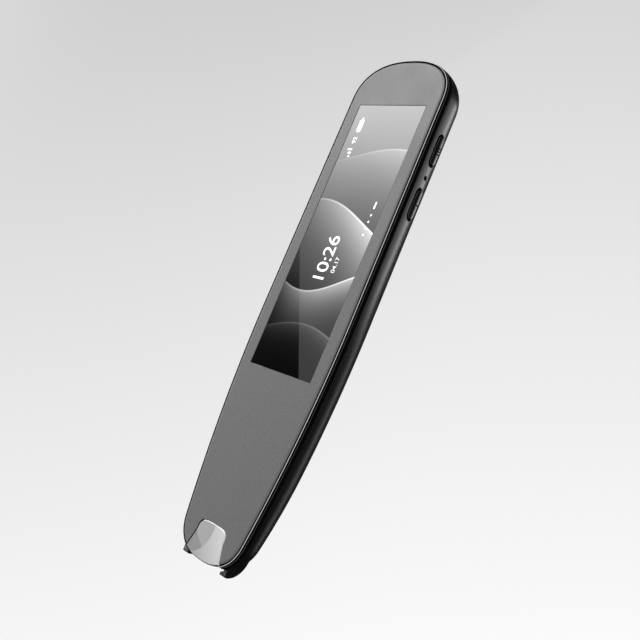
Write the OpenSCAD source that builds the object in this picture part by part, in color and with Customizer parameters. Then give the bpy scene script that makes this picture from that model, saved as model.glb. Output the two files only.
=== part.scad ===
// Handheld translator: a pen-shaped scanner with a bar screen, two side keys,
// a round speaker insert and a sprung two-skid nose that starts a scan.
// Lengths along Y are measured from the lower edge of the screen, then the whole
// pen is shifted so that its origin is under the middle of its box.
// Z runs from the flat back, at 0, to the front face.

/* [Outline] */
// Length of the visible screen along the pen
screen_len = 73.4; // [66:0.1:84]
// Width of the visible screen
screen_w = 24.3; // [22:0.1:25.5]
// Front panel past the upper end of the screen
top_margin = 12.5; // [12:0.1:16]
// Front panel past the lower end of the screen, out to the tip
nose_len = 48.7; // [48:0.1:58]
// Half the panel's width where the upper end starts to round off
top_half_w = 16.25; // [15.8:0.05:20]
// Half the panel's width at its widest
belly_half_w = 16.7; // [16.4:0.05:20]
// Height of the widest place above the lower edge of the screen
belly_y = 15.3; // [8:0.1:24]
// Radius of the long arc that narrows the pen towards the tip
nose_arc_r = 338; // [300:1:420]
// Length of the rounded upper end
top_cap = 10.8; // [10.4:0.1:13]
// Length of the rounded tip
tip_cap = 8.1; // [7:0.1:9]
// Squareness of the rounded upper end: 2 is an ellipse
top_square = 2.4; // [2:0.1:3]
// Squareness of the rounded tip
tip_square = 2.5; // [2:0.1:3]

/* [Body] */
// Thickness from the flat back to the front face
body_thick = 11.9; // [11.6:0.1:15]
// Wall of the rear cover
wall = 1.4; // [1.1:0.05:1.7]
// How far in from the side the rounded back edge reaches
edge_r = 9.8; // [8.2:0.1:10]
// Where the back starts to rise towards the tip
slope_y = -20; // [-24:0.5:-12]
// Radius of the rise of the back towards the tip
slope_r = 147; // [120:1:220]
// Thickness of the front panel
panel_t = 1.1; // [0.9:0.05:1.3]
// Rounding of the panel's front edge
panel_edge = 0.45; // [0.2:0.05:0.6]
// Running gap around the panel, inside the bright rim
rim_gap = 0.08; // [0.05:0.01:0.15]
// Width of the bright rim
rim_w = 0.34; // [0.25:0.01:0.5]
// How far the bright rim stays under the front face
rim_drop = 0.18; // [0.1:0.01:0.4]
// Chamfer on the bright rim
rim_chamfer = 0.22; // [0.1:0.01:0.24]

/* [Frame and display] */
// Tape between the panel and the frame
tape_t = 0.15; // [0.1:0.05:0.2]
// Plate of the middle frame
plate_t = 0.9; // [0.8:0.05:1.2]
// Thickness of the display module
display_t = 2.0; // [1.6:0.1:2.4]
// Border of the display module beside the visible screen
display_border = 0.55; // [0.4:0.05:0.7]
// Display module past the lower edge of the screen
display_foot = 3.2; // [2.4:0.1:4]
// Display module past the upper edge of the screen
display_head = 1.0; // [0.6:0.1:1.4]
// Floor and walls of the display pocket
pocket_wall = 0.6; // [0.5:0.05:0.7]
// Thickness of the touch sensor
touch_t = 0.3; // [0.2:0.05:0.4]
// The screen glass lies this much under the front face
lens_sink = 0.08; // [0.04:0.02:0.2]
// Clearance around pieces that are laid into a pocket
fit = 0.15; // [0.1:0.01:0.2]

/* [Keys] */
// Middle of the upper key above the lower edge of the screen
upper_key_y = 63.85; // [62:0.1:65]
// Middle of the lower key
lower_key_y = 49.45; // [48.5:0.1:50.5]
// Middle of the keys above the back
key_z = 6.8; // [6.6:0.1:7.2]
// Length of a key
key_len = 8.1; // [7:0.1:9]
// Height of a key
key_h = 2.5; // [2:0.1:2.6]
// Gap around a key in its slot
key_gap = 0.2; // [0.12:0.01:0.25]
// How far a key stands out of the cover
key_proud = 0.35; // [0.2:0.05:0.45]
// Travel of a key
key_travel = 0.35; // [0.2:0.05:0.4]
// Thickness of the flange that holds a key in
key_flange = 0.6; // [0.5:0.05:0.7]
// Radius of the sound hole of the microphone
mic_r = 0.6; // [0.3:0.05:0.7]

/* [Speaker] */
// Middle of the speaker above the lower edge of the screen
speaker_y = 67; // [66:0.1:68]
// Radius of the round seat of the speaker grille
grille_r = 9.1; // [7.8:0.05:9.4]
// Thickness of the grille
grille_t = 0.95; // [0.8:0.05:1]
// Gap around the grille
grille_gap = 0.1; // [0.06:0.01:0.15]
// Radius of a sound hole
sound_hole_r = 0.34; // [0.25:0.01:0.45]
// Width of the ledge that the grille sits on
grille_ledge = 2.1; // [1.6:0.1:2.4]

/* [Nose] */
// Half the gap between the two skids
skid_in = 7.0; // [6.8:0.05:7.1]
// Thickness of a skid
skid_t = 2.2; // [2:0.05:2.3]
// Width of the flat strip along a skid's back, beside its sloped outer edge
skid_flat = 1.1; // [0.8:0.1:1.4]
// How much higher the sloped edge ends than the flat strip
skid_slope = 1.0; // [0.6:0.1:1.4]
// Level of the flat strip at the root, above the back
skid_low = 4.15; // [3.8:0.05:4.6]
// Level of the top of the toes
toe_top = 10.5; // [10:0.1:10.8]
// Rounding of the toes' upper edge
toe_round = 0.4; // [0.2:0.05:0.6]
// Straight stretch of a skid's back beside its root
skid_straight = 0.8; // [0.6:0.1:1]
// How far the skids reach past the tip of the panel
skid_reach = 0.6; // [0.5:0.1:1]
// Travel of the skids when the pen is pressed down
skid_travel = 0.4; // [0.3:0.05:0.5]
// Running gap beside the skids
skid_gap = 0.15; // [0.1:0.01:0.2]
// Straight upper edge of the clear window, from the tip
window_len = 9.3; // [8.8:0.1:9.6]
// Half the clear window's width where its sides straighten
window_half_w = 5.55; // [5.3:0.05:5.9]
// How much each side of the window flares per millimetre towards the tip
window_flare = 0.35; // [0.2:0.01:0.4]
// Height of the window's rounded upper corners
window_corner = 3.4; // [2.8:0.1:3.8]
// Squareness of the window's upper corners: 2 is an ellipse
window_square = 3.7; // [2:0.1:4]
// Glue gap around the clear window
window_gap = 0.05; // [0.03:0.01:0.08]
// Width of the scan opening in the back
aperture_w = 9.6; // [9:0.1:9.8]
// Length of the scan opening along the pen
aperture_len = 5.6; // [5:0.1:5.8]
// Lip between the scan opening and the notch of the nose
lip_len = 1.5; // [1.2:0.1:2]
// Width of the light gap in the lip
lip_gap_w = 4.6; // [4:0.1:5]
// Length of the notch of the nose, from the tip
notch_len = 5.4; // [5:0.1:5.8]

/* [Electronics] */
// Battery length, width and thickness
battery_size = [19.4, 50, 3.6];
// Main board width, length and thickness
board_size = [24.4, 61.5, 0.8];
// Charging socket width, depth and height
usb_size = [8.94, 7.3, 3.16];
// Camera holder width, depth and height
camera_size = [6, 3.5, 5.6];
// Radius of the camera's lens barrel
barrel_r = 1.7; // [1.5:0.05:1.7]
// Radius of the speaker's basket
basket_r = 8.0; // [7.6:0.05:8]

/* [Hidden] */
$fn = 32;
eps = 0.01;
// Segments along each rounded end, along each side and round the back edge
cap_steps = 11;
side_steps = 14;
edge_steps = 8;

// Ends of the panel, and the shift that centres the pen's box
y_top = screen_len + top_margin;
y_tip = -nose_len;
y_mid = (y_top + rim_gap + rim_w + y_tip - skid_reach) / 2;
// Where the rounded ends start
y_cap = y_top - top_cap;
y_toe = y_tip + tip_cap;

// Levels from the front face down
z_panel = body_thick - panel_t;
z_plate_top = z_panel - tape_t;
z_seam = z_plate_top - plate_t;
z_lens = body_thick - lens_sink;
z_touch = z_panel - touch_t;
z_display = z_touch - display_t;
z_pocket = z_display - pocket_wall;

// The outer side of the rim and of the cover, out from the panel's outline
rim_out = rim_gap + rim_w;
// The depth of the display module's pocket in the frame
display_w = screen_w + 2 * display_border;
display_y0 = -display_foot;
display_len = screen_len + display_foot + display_head;
pocket_x = display_w / 2 + fit + pocket_wall;

// Battery and main board
battery_y0 = -11.5;
battery_z = max(2.2, floor_z(battery_size[0] / 2, battery_y0) + 0.05);
board_y0 = -18;
board_z = battery_z + battery_size[2] + 0.35;
board_top = board_z + board_size[2];
board_screw_x = 10.4;
board_screw_y = [board_y0 + 2.5, board_y0 + board_size[1] - 2];
post_r = 1.5;
// Screws: radius of the shank, of the head, and the head's height
screw_r = 0.7;
head_r = 1.35;
head_h = 0.6;
// Clearance of a shank in a plain hole
screw_clear = 0.12;
can_h = z_pocket - board_top - 0.15;

// Shield cans on the main board: lower edge, length, width
can_y = [board_y0 + 20, board_y0 + 42.5];
can_len = [20, 13.5];
can_w = [20, 18];
can_wall = 0.15;

// Keys: flat wall that the flanges lie behind
key_wall = 14.85;
key_back = key_wall - 0.1 - key_flange;
key_pocket_y = [lower_key_y - key_len / 2 - 1.2, upper_key_y + key_len / 2 + 1.2];
key_pocket_z = [key_z - 1.8, key_z + 1.9];
mic_y = (upper_key_y + lower_key_y) / 2 - 0.15;
switch_size = [1.15, 3.6, 1.8];
switch_x = 13.35;
key_board_t = 0.5;
key_board_x = switch_x - switch_size[0] - key_board_t;
plunger_r = 0.7;
plunger_clear = 0.08;
plunger_depth = 0.6;

// Speaker stack, from the back inwards
ring_r = [3.3, 4.95, 6.6];
ring_n = [16, 16, 8];
mesh_t = 0.15;
gasket_t = 0.5;
basket_z = wall + gasket_t;
basket_h = 1.5;
basket_lip = 1.1;
magnet_r = 5;
magnet_h = 1.8;

// Charging socket on its own small board at the upper end
flex_t = 0.15;
flex_z = z_pocket - 0.375;
usb_board_t = 0.6;
usb_board_z = flex_z + flex_t;
usb_board_size = [14, 7.2];
usb_board_y0 = y_top - 9.6;
usb_z = usb_board_z - usb_size[2] / 2;
usb_mouth_y = y_top - 0.5;
usb_screw_x = 5.8;
usb_screw_y = usb_board_y0 + 1.5;

// Frame screws: nose pair, middle pair, upper pair, and their radius of boss
frame_screw_y = [y_tip + 12.7, slope_y - 1.2, y_top - 6.6];
frame_screw_at = [[side_w(frame_screw_y[0]) - 2.4, frame_screw_y[0], 1.5],
                  [side_w(frame_screw_y[1]) - 3.5, frame_screw_y[1], 1.9],
                  [side_w(frame_screw_y[2]) - 5.6, frame_screw_y[2], 1.9]];
frame_screw_len = 3.4;
boss_depth = [3.2, 4.7, 6.2];

// Scan opening and nose
aperture_y0 = y_tip + notch_len + lip_len;
aperture_y1 = aperture_y0 + aperture_len;
notch_y = y_tip + notch_len;
window_shoulder = y_tip + window_len - window_corner;
skid_out = skid_in + skid_t;
skid_root = notch_y + 0.6;
slot_root = skid_root + skid_travel + skid_gap;
skid_top = z_seam - skid_gap;
arm_h = 3;
arm_z = skid_top - arm_h;
beam_y0 = y_tip + 21.2;
beam_len = 2;
lug_y0 = beam_y0 - 2.5;
lug_grow = 0.35;
rib_y0 = beam_y0 + beam_len + 3.5;
rib_len = 1;
pin_r = 0.6;
pin_clear = 0.05;
arm_t = 1.6;
skid_mid = skid_in + skid_t / 2;
pin_x = skid_in + arm_t / 2;
pin_z = skid_top - arm_h / 2;
pin_reach = 5.5;
spring_r = 1.0;
spring_wire = 0.15;
spring_turns = 5;
tact_size = [3.6, 1.6, 2.2];

// Optics: the dark window is a ramp that starts at the edge of the scan opening
window_x = aperture_w / 2 - 0.1;
ramp_y = [aperture_y1 - 0.1, aperture_y0 + 0.6];
ramp_z = [1.15, 5.95];
ramp_t = 1.0;
chamber_in = aperture_w / 2 + 0.05;
chamber_t = 0.5;
chamber_back = aperture_y1 + 1.9;
chamber_wall = 0.8;
camera_z = 5.2;
camera_y0 = chamber_back + chamber_wall;
barrel_len = 3.0;
led_size = [1.6, 0.6, 1.6];
led_x = 3.3;
light_board_t = 0.6;

// Half the panel's width at a height along the pen, without its rounded ends
function side_w(y) = y > belly_y
    ? belly_half_w - (y - belly_y) * (belly_half_w - top_half_w) / (y_cap - belly_y)
    : belly_half_w - pow(belly_y - y, 2) / (2 * nose_arc_r);

// Length of the rounded tip when the outline is moved in by a
function tip_reach(a) = a <= 0 ? tip_cap - a : tip_cap - a * (tip_cap - 0.8) / edge_r;

// A superellipse's two coordinates at an angle
function round_x(t, n) = pow(sin(t), 2 / n);
function round_y(t, n) = pow(cos(t), 2 / n);

// Right-hand half of the outline, from the tip up, moved in by a
function half_outline(a) = concat(
    [for (k = [0:cap_steps])
        let (t = 90 * k / cap_steps, y = y_toe - tip_reach(a) * round_y(t, tip_square))
        [(side_w(y) - a) * round_x(t, tip_square), y]],
    [for (k = [1:side_steps - 1])
        let (y = y_toe + (y_cap - y_toe) * k / side_steps)
        [side_w(y) - a, y]],
    [for (k = [0:cap_steps])
        let (t = 90 * (1 - k / cap_steps), y = y_cap + (top_cap - a) * round_y(t, top_square))
        [(side_w(y) - a) * round_x(t, top_square), y]]
);
function outline(a) =
    let (h = half_outline(a), n = len(h) - 1)
    concat(h, [for (k = [n - 1:-1:1]) [-h[k][0], h[k][1]]]);

// Height of the back over its flat part, along the pen
function rise(y) = y < slope_y ? pow(slope_y - y, 2) / (2 * slope_r) : 0;

// One ring of the rounded body: the outline moved in, and its height
function body_ring(phi, skin) =
    [for (p = outline(skin - rim_out + (edge_r - skin) * (1 - cos(phi))))
        [p[0], p[1], z_seam - (z_seam - skin - rise(p[1])) * sin(phi)]];

// Height of the cover's inner face over a point
function floor_z(x, y) =
    let (flat = side_w(y) + rim_out - edge_r, dx = max(0, abs(x) - flat) / (edge_r - wall))
    z_seam - (z_seam - wall - rise(y)) * sqrt(1 - dx * dx);

// Half the clear window's width at a height along the pen, below its corners
function window_w(y) = window_half_w + window_flare * (window_shoulder - y);

// Outline of the clear window, grown by g, from past the tip round its upper corners
function window_shape(g) =
    let (right = concat(
        [[window_w(y_tip - 3) + g, y_tip - 3]],
        [for (t = [0:15:90]) [(window_half_w + g) * pow(cos(t), 2 / window_square),
                              window_shoulder + (window_corner + g) * pow(sin(t), 2 / window_square)]]))
    concat(right, [for (k = [len(right) - 2:-1:0]) [-right[k][0], right[k][1]]]);

// Shifts a piece from the screen's datum to the pen's own origin
module in_frame() {
    translate([0, -y_mid, 0]) children();
}

// A box from its two corners
module block(lo, hi) {
    translate(lo) cube(hi - lo);
}

// The same piece on the right and on the left
module both_sides() {
    children();
    mirror([1, 0, 0]) children();
}

// Closed skin through stacked rings of equal length, lowest ring last
module loft(rings) {
    n = len(rings[0]);
    m = len(rings);
    points = [for (r = rings) for (p = r) p];
    sides = [for (j = [0:m - 2]) for (k = [0:n - 1])
        let (a = j * n + k, b = j * n + (k + 1) % n, c = b + n, d = a + n)
        each [[a, b, c], [a, c, d]]];
    polyhedron(points, concat(sides, strip_cap(0, n, false), strip_cap((m - 1) * n, n, true)));
}

// Triangles across a symmetric ring that starts at index s
function strip_cap(s, n, flip) =
    let (h = n / 2)
    [for (k = [0:h - 1])
        let (a = s + k, b = s + k + 1, c = s + (n - k - 1) % n, d = s + (n - k) % n)
        each concat(
            flip ? [[a, b, c]] : [[a, c, b]],
            k == 0 ? [] : (flip ? [[a, c, d]] : [[a, d, c]]))];

// The outside of the body below its seam, grown by a skin, as one closed solid
module body_solid(grow) {
    loft(concat(
        [[for (p = outline(-rim_out - grow)) [p[0], p[1], z_seam + 0.5]]],
        [for (k = [0:edge_steps]) body_ring(90 * k / edge_steps, -grow)]));
}

// The cover's wall as one skin: outside down, inside up, joined at the seam
module cover_shell() {
    n = len(outline(0));
    m = edge_steps + 1;
    outer = [for (k = [0:edge_steps]) body_ring(90 * k / edge_steps, 0)];
    inner = [for (k = [0:edge_steps]) body_ring(90 * k / edge_steps, wall)];
    points = [for (r = concat(outer, inner)) for (p = r) p];
    skin = [for (j = [0:m - 2]) for (k = [0:n - 1])
        let (a = j * n + k, b = j * n + (k + 1) % n, c = b + n, d = a + n, s = m * n)
        each [[a, b, c], [a, c, d], [a + s, c + s, b + s], [a + s, d + s, c + s]]];
    edge = [for (k = [0:n - 1])
        let (a = k, b = (k + 1) % n, s = m * n)
        each [[a, b + s, b], [a, a + s, b + s]]];
    polyhedron(points, concat(skin, edge,
        strip_cap((m - 1) * n, n, true), strip_cap((2 * m - 1) * n, n, false)));
}

// A rod along X with round ends along Y: the shape of a key and of its slot
module pill(x0, x1, y, z, length, height) {
    r = height / 2;
    for (s = [-1, 1])
        translate([x0, y + s * (length / 2 - r), z]) rotate([0, 90, 0]) cylinder(r = r, h = x1 - x0);
    block([x0, y - length / 2 + r, z - r], [x1, y + length / 2 - r, z + r]);
}

// The charging plug's outline along Y
module usb_shape(y0, y1, grow) {
    r = usb_size[2] / 2 + grow;
    x = usb_size[0] / 2 + grow - r;
    for (s = [-1, 1])
        translate([s * x, y1, usb_z]) rotate([90, 0, 0]) cylinder(r = r, h = y1 - y0);
    block([-x, y0, usb_z - r], [x, y1, usb_z + r]);
}

// A straight round wire between two points
module wire(p, q, r) {
    v = q - p;
    length = norm(v);
    translate(p) rotate([0, acos(v[2] / length), atan2(v[1], v[0])]) cylinder(r = r, h = length, $fn = 16);
}

// ---- front ----

// The panel's plate with its rounded front edge
module panel_blank() {
    step = [0, 0.3, 0.7, 1];
    loft(concat(
        [for (k = [3:-1:0])
            let (t = 90 * step[k])
            [for (p = outline(panel_edge * (1 - cos(t))))
                [p[0], p[1], body_thick - panel_edge + panel_edge * sin(t)]]],
        [[for (p = outline(0)) [p[0], p[1], z_panel]]]));
}

module front_panel() {
    color("dimgray") in_frame() difference() {
        panel_blank();
        block([-screen_w / 2, 0, z_panel - 1], [screen_w / 2, screen_len, body_thick + 1]);
        translate([0, 0, z_panel - 1]) linear_extrude(panel_t + 2) polygon(window_shape(window_gap));
    }
}

module screen_lens() {
    color("black") in_frame()
        block([-screen_w / 2 + window_gap, window_gap, z_panel],
              [screen_w / 2 - window_gap, screen_len - window_gap, z_lens]);
}

module viewing_window() {
    color("gainsboro") in_frame() intersection() {
        panel_blank();
        translate([0, 0, z_panel - 1]) linear_extrude(panel_t + 2) polygon(window_shape(0));
    }
}

module panel_tape() {
    inset = 0.5;
    color("dimgray") in_frame() difference() {
        translate([0, 0, z_plate_top]) linear_extrude(tape_t) polygon(outline(inset));
        block([-display_w / 2 - fit, display_y0 - fit, z_plate_top - 1],
              [display_w / 2 + fit, display_y0 + display_len + fit, z_panel + 1]);
        translate([0, 0, z_plate_top - 1]) linear_extrude(tape_t + 2) polygon(window_shape(-0.3));
    }
}

module touch_sensor() {
    color("darkslategray") in_frame()
        block([-display_w / 2, display_y0 + 1, z_touch],
              [display_w / 2, display_y0 + display_len, z_panel]);
}

module display_module() {
    color("silver") in_frame()
        block([-display_w / 2, display_y0, z_display],
              [display_w / 2, display_y0 + display_len, z_touch]);
}

// A ribbon bent round the end of the display and down to the main board
module display_flex() {
    half = 6;
    y0 = display_y0;
    y1 = display_y0 - 1.8;
    z_up = z_display + 0.2;
    z_low = board_top + 0.45;
    color("orange") in_frame() {
        block([-half, y1, z_up], [half, y0, z_up + flex_t]);
        block([-half, y1 - flex_t, z_low], [half, y1, z_up + flex_t]);
        block([-half, y1, z_low], [half, y1 + 2.2, z_low + flex_t]);
    }
}

// ---- middle frame ----

// The rim round the panel, with a chamfer that catches the light
module frame_blank() {
    loft([
        [for (p = outline(-rim_out + rim_chamfer)) [p[0], p[1], body_thick - rim_drop]],
        [for (p = outline(-rim_out)) [p[0], p[1], body_thick - rim_drop - rim_chamfer]],
        [for (p = outline(-rim_out)) [p[0], p[1], z_seam]]
    ]);
}

module frame_screw_holes(r) {
    for (s = frame_screw_at)
        both_sides() translate([s[0], s[1], z_seam - 1]) cylinder(r = r, h = plate_t + 2);
}

module mid_frame() {
    rail_h = 2.9;
    color("black") in_frame() difference() {
        union() {
            frame_blank();
            // Pocket of the display
            block([-pocket_x, display_y0 - fit - pocket_wall, z_pocket],
                  [pocket_x, display_y0 + display_len + fit + pocket_wall, z_seam + 0.3]);
            // Posts of the main board, under the plate and under the pocket
            both_sides() {
                translate([board_screw_x, board_screw_y[0], board_top])
                    cylinder(r = post_r, h = z_seam + 0.3 - board_top);
                translate([board_screw_x, board_screw_y[1], board_top])
                    cylinder(r = post_r, h = z_pocket + 0.3 - board_top);
                translate([usb_screw_x, usb_screw_y, usb_board_z + usb_board_t])
                    cylinder(r = 1.1, h = z_seam + 0.3 - usb_board_z - usb_board_t);
                // Stops that the trigger's shoulders rest behind
                block([skid_in + arm_t + 0.12, lug_y0 - 1.1, arm_z], [skid_out + 1, lug_y0 - 0.1, z_seam + 0.3]);
            }
            // Rib that carries the trigger's springs, pins and switch
            block([-pin_x - 1.2, rib_y0, z_seam - 3.4], [pin_x + 1.2, rib_y0 + rib_len, z_seam + 0.3]);
            // Rib behind the key board
            block([key_board_x - 0.8, key_pocket_y[0] + 0.6, z_pocket - rail_h],
                  [key_board_x, key_pocket_y[1] - 0.6, z_pocket + 0.3]);
        }
        // Seat of the panel
        translate([0, 0, z_plate_top]) linear_extrude(panel_t + 2) polygon(outline(-rim_gap));
        // Inside of the display's pocket, and the way out for its ribbon
        block([-display_w / 2 - fit, display_y0 - fit, z_display],
              [display_w / 2 + fit, display_y0 + display_len + fit, body_thick]);
        block([-6.3, display_y0 - fit - pocket_wall - 1, z_display + 0.05],
              [6.3, display_y0, z_display + 0.55]);
        // The clear window's light way, with a ledge under its edge
        translate([0, 0, z_seam - 1]) linear_extrude(panel_t + plate_t + 3) polygon(window_shape(-0.35));
        // The rim stops where the clear window reaches the tip
        block([-window_w(y_tip), y_tip - 2, z_plate_top - eps], [window_w(y_tip), y_tip + 1, body_thick + 1]);
        // Screw holes and their sunk heads
        frame_screw_holes(screw_r + screw_clear);
        for (s = frame_screw_at)
            both_sides() translate([s[0], s[1], z_plate_top - head_h - 0.05])
                cylinder(r = head_r + screw_clear, h = head_h + 1);
        both_sides() {
            translate([board_screw_x, board_screw_y[0], board_top - 1]) cylinder(r = screw_r, h = 3.2);
            translate([board_screw_x, board_screw_y[1], board_top - 1])
                cylinder(r = screw_r, h = z_display - board_top + 0.9);
            translate([usb_screw_x, usb_screw_y, usb_board_z]) cylinder(r = screw_r, h = usb_board_t + 1.2);
            // Press bores of the guide pins
            translate([pin_x, rib_y0 + rib_len + 1, pin_z]) rotate([90, 0, 0]) cylinder(r = pin_r, h = rib_len + 2);
        }
    }
}

// ---- rear cover ----

module rear_cover() {
    color("#202020") in_frame() difference() {
        union() {
            cover_shell();
            for (k = [0:2])
                let (s = frame_screw_at[k])
                both_sides() translate([s[0], s[1], z_seam - boss_depth[k]]) cylinder(r = s[2], h = boss_depth[k]);
        }
        // Bores of the frame screws
        for (s = frame_screw_at)
            both_sides() translate([s[0], s[1], z_seam - frame_screw_len + head_h]) cylinder(r = screw_r, h = 6);
        // Slots of the two keys, the microphone's hole, and the flat wall behind them
        for (y = [upper_key_y, lower_key_y])
            pill(key_wall - 1, belly_half_w + 2, y, key_z, key_len + 2 * key_gap, key_h + 2 * key_gap);
        translate([key_wall - 1, mic_y, key_z]) rotate([0, 90, 0]) cylinder(r = mic_r, h = 5);
        block([key_wall - 3, key_pocket_y[0], key_pocket_z[0]], [key_wall, key_pocket_y[1], key_pocket_z[1]]);
        // Seat of the speaker grille, its sound opening and the flat seat of the gasket
        translate([0, speaker_y, -1]) cylinder(r = grille_r, h = grille_t + 1, $fn = 96);
        translate([0, speaker_y, -1]) cylinder(r = grille_r - grille_ledge, h = wall + 2, $fn = 96);
        translate([0, speaker_y, wall]) cylinder(r = basket_r + 0.2, h = 3, $fn = 96);
        // Mouth of the charging socket
        usb_shape(usb_mouth_y - 4, y_top + 2, 0.08);
        // Scan opening and the light gap in its lip
        block([-aperture_w / 2, aperture_y0, -1], [aperture_w / 2, aperture_y1, z_seam - 3]);
        block([-lip_gap_w / 2, notch_y - 1, -1], [lip_gap_w / 2, aperture_y0 + 1, z_seam - 3]);
        // Notch of the nose, and the deeper slots of the two skids
        block([-skid_in - 0.3, y_tip - 4, -1], [skid_in + 0.3, notch_y, z_seam + 1]);
        both_sides() {
            block([skid_in - skid_gap, y_tip - 4, -1],
                  [skid_out + skid_gap, slot_root - skid_t / 2 - skid_gap, z_seam + 1]);
            translate([skid_mid, slot_root - skid_t / 2 - skid_gap, -1])
                cylinder(r = skid_t / 2 + skid_gap, h = z_seam + 2);
        }
    }
}

// ---- speaker ----

module speaker_grille() {
    color("#181818") in_frame() difference() {
        intersection() {
            body_solid(0);
            translate([0, speaker_y, -1]) cylinder(r = grille_r - grille_gap, h = grille_t + 1, $fn = 96);
        }
        for (k = [0:2])
            for (j = [0:ring_n[k] - 1])
                rotate_about(speaker_y, 360 * j / ring_n[k])
                    translate([ring_r[k], 0, -1]) cylinder(r = sound_hole_r, h = 3, $fn = 16);
    }
}

module rotate_about(y, angle) {
    translate([0, y, 0]) rotate([0, 0, angle]) children();
}

// A flat ring on the speaker's axis
module speaker_ring(z, h, r_out, r_in) {
    translate([0, speaker_y, z]) difference() {
        cylinder(r = r_out, h = h, $fn = 96);
        translate([0, 0, -1]) cylinder(r = r_in, h = h + 2, $fn = 96);
    }
}

module grille_mesh() {
    color("black") in_frame()
        translate([0, speaker_y, grille_t]) cylinder(r = grille_r - grille_ledge - 0.05, h = mesh_t);
}

module speaker_gasket() {
    color("darkslategray") in_frame() speaker_ring(wall, gasket_t, basket_r, basket_r - 0.9);
}

module speaker_basket() {
    color("black") in_frame() {
        speaker_ring(basket_z, basket_h, basket_r, basket_r - basket_lip);
        speaker_ring(basket_z + basket_h, 0.4, basket_r, magnet_r);
    }
}

module speaker_cone() {
    r = basket_r - basket_lip;
    color("gray") in_frame() translate([0, speaker_y, basket_z + 0.3])
        rotate_extrude() polygon([[0, 0], [2.6, 0.35], [3.4, 0.1], [r - 1.2, 0.35], [r, 0.05], [r, 0.25],
                                  [r - 1.2, 0.6], [3.4, 0.4], [2.6, 0.65], [0, 0.3]]);
}

module speaker_magnet() {
    color("silver") in_frame()
        translate([0, speaker_y, basket_z + basket_h]) cylinder(r = magnet_r, h = magnet_h);
}

module speaker_leads() {
    z0 = basket_z + basket_h + 0.4;
    y1 = board_y0 + board_size[1] - 1.2;
    color("red") in_frame()
        for (x = [-1.2, 1.2]) {
            translate([x - 2.6, speaker_y - 6.2, z0]) cylinder(r = 0.3, h = 0.9, $fn = 16);
            wire([x - 2.6, speaker_y - 6.2, z0 + 0.6], [x, y1, board_z - 0.3], 0.25);
        }
}

// ---- side keys ----

// A key: the cap that shows, and the flange that keeps it in
module key_cap(y) {
    intersection() {
        pill(key_back, belly_half_w + 2, y, key_z, key_len, key_h);
        body_solid(key_proud);
    }
    pill(key_back, key_back + key_flange, y, key_z, key_len + 1.4, key_h + 0.7);
}

module key_plunger(y) {
    translate([switch_x - plunger_depth, y, key_z]) rotate([0, 90, 0])
        cylinder(r = plunger_r, h = key_back - switch_x + plunger_depth);
}

module upper_button() {
    color("#181818") in_frame() key_cap(upper_key_y);
}

module lower_button() {
    color("#181818") in_frame() key_cap(lower_key_y);
}

module upper_key_plunger() {
    color("white") in_frame() key_plunger(upper_key_y);
}

module lower_key_plunger() {
    color("white") in_frame() key_plunger(lower_key_y);
}

module key_switches() {
    color("silver") in_frame()
        for (y = [upper_key_y, lower_key_y])
            difference() {
                block([switch_x - switch_size[0], y - switch_size[1] / 2, key_z - switch_size[2] / 2],
                      [switch_x, y + switch_size[1] / 2, key_z + switch_size[2] / 2]);
                translate([switch_x - switch_size[0] + 0.1, y, key_z]) rotate([0, 90, 0])
                    cylinder(r = plunger_r + plunger_clear, h = 2);
            }
}

module key_board() {
    color("darkgreen") in_frame()
        block([key_board_x, key_pocket_y[0] + 0.6, key_z - 1.7],
              [key_board_x + key_board_t, key_pocket_y[1] - 0.6, z_pocket - 0.1]);
}

module microphone() {
    x = key_board_x + key_board_t;
    color("silver") in_frame() block([x, mic_y - 1.4, key_z - 0.95], [x + 1, mic_y + 1.4, key_z + 0.95]);
}

module microphone_seal() {
    x = key_board_x + key_board_t + 1;
    color("black") in_frame() translate([x, mic_y, key_z]) rotate([0, 90, 0]) difference() {
        cylinder(r = 0.95, h = key_wall - x);
        translate([0, 0, -1]) cylinder(r = mic_r, h = 5);
    }
}

// ---- boards and battery ----

module main_board() {
    color("darkgreen") in_frame() difference() {
        block([-board_size[0] / 2, board_y0, board_z], [board_size[0] / 2, board_y0 + board_size[1], board_top]);
        for (y = board_screw_y)
            both_sides() translate([board_screw_x, y, board_z - 1]) cylinder(r = screw_r + screw_clear, h = 3);
    }
}

// The processor, its memory and the radio, inside the cans
module main_chips() {
    h = can_h - 0.3;
    color("#303030") in_frame() {
        block([-6, can_y[0] + 4, board_top], [5, can_y[0] + 15, board_top + h]);
        block([-5, can_y[1] + 3, board_top], [3, can_y[1] + 10, board_top + h]);
    }
}

module shield_cans() {
    color("silver") in_frame()
        for (k = [0, 1])
            difference() {
                block([-can_w[k] / 2, can_y[k], board_top], [can_w[k] / 2, can_y[k] + can_len[k], board_top + can_h]);
                block([-can_w[k] / 2 + can_wall, can_y[k] + can_wall, board_top - 1],
                      [can_w[k] / 2 - can_wall, can_y[k] + can_len[k] - can_wall, board_top + can_h - can_wall]);
            }
}

// Sockets of the display ribbon, the tail ribbon and the battery's plug
module board_connectors() {
    tail_y = board_y0 + board_size[1] - 3.4;
    color("ivory") in_frame() {
        block([-6, display_y0 - 1.6, board_top], [6, display_y0 + 0.6, board_top + 0.45]);
        block([-4, tail_y, board_top], [4, tail_y + 2.4, flex_z]);
        block([-3, board_y0 + 1, board_z - 1.2], [3, board_y0 + 4, board_z]);
    }
}

module battery() {
    color("lightgray") in_frame()
        block([-battery_size[0] / 2, battery_y0, battery_z],
              [battery_size[0] / 2, battery_y0 + battery_size[1], battery_z + battery_size[2]]);
}

module battery_protection() {
    color("darkgreen") in_frame()
        block([-8, battery_y0 - 1.2, battery_z + 0.4], [8, battery_y0, battery_z + battery_size[2] - 0.4]);
}

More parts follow.
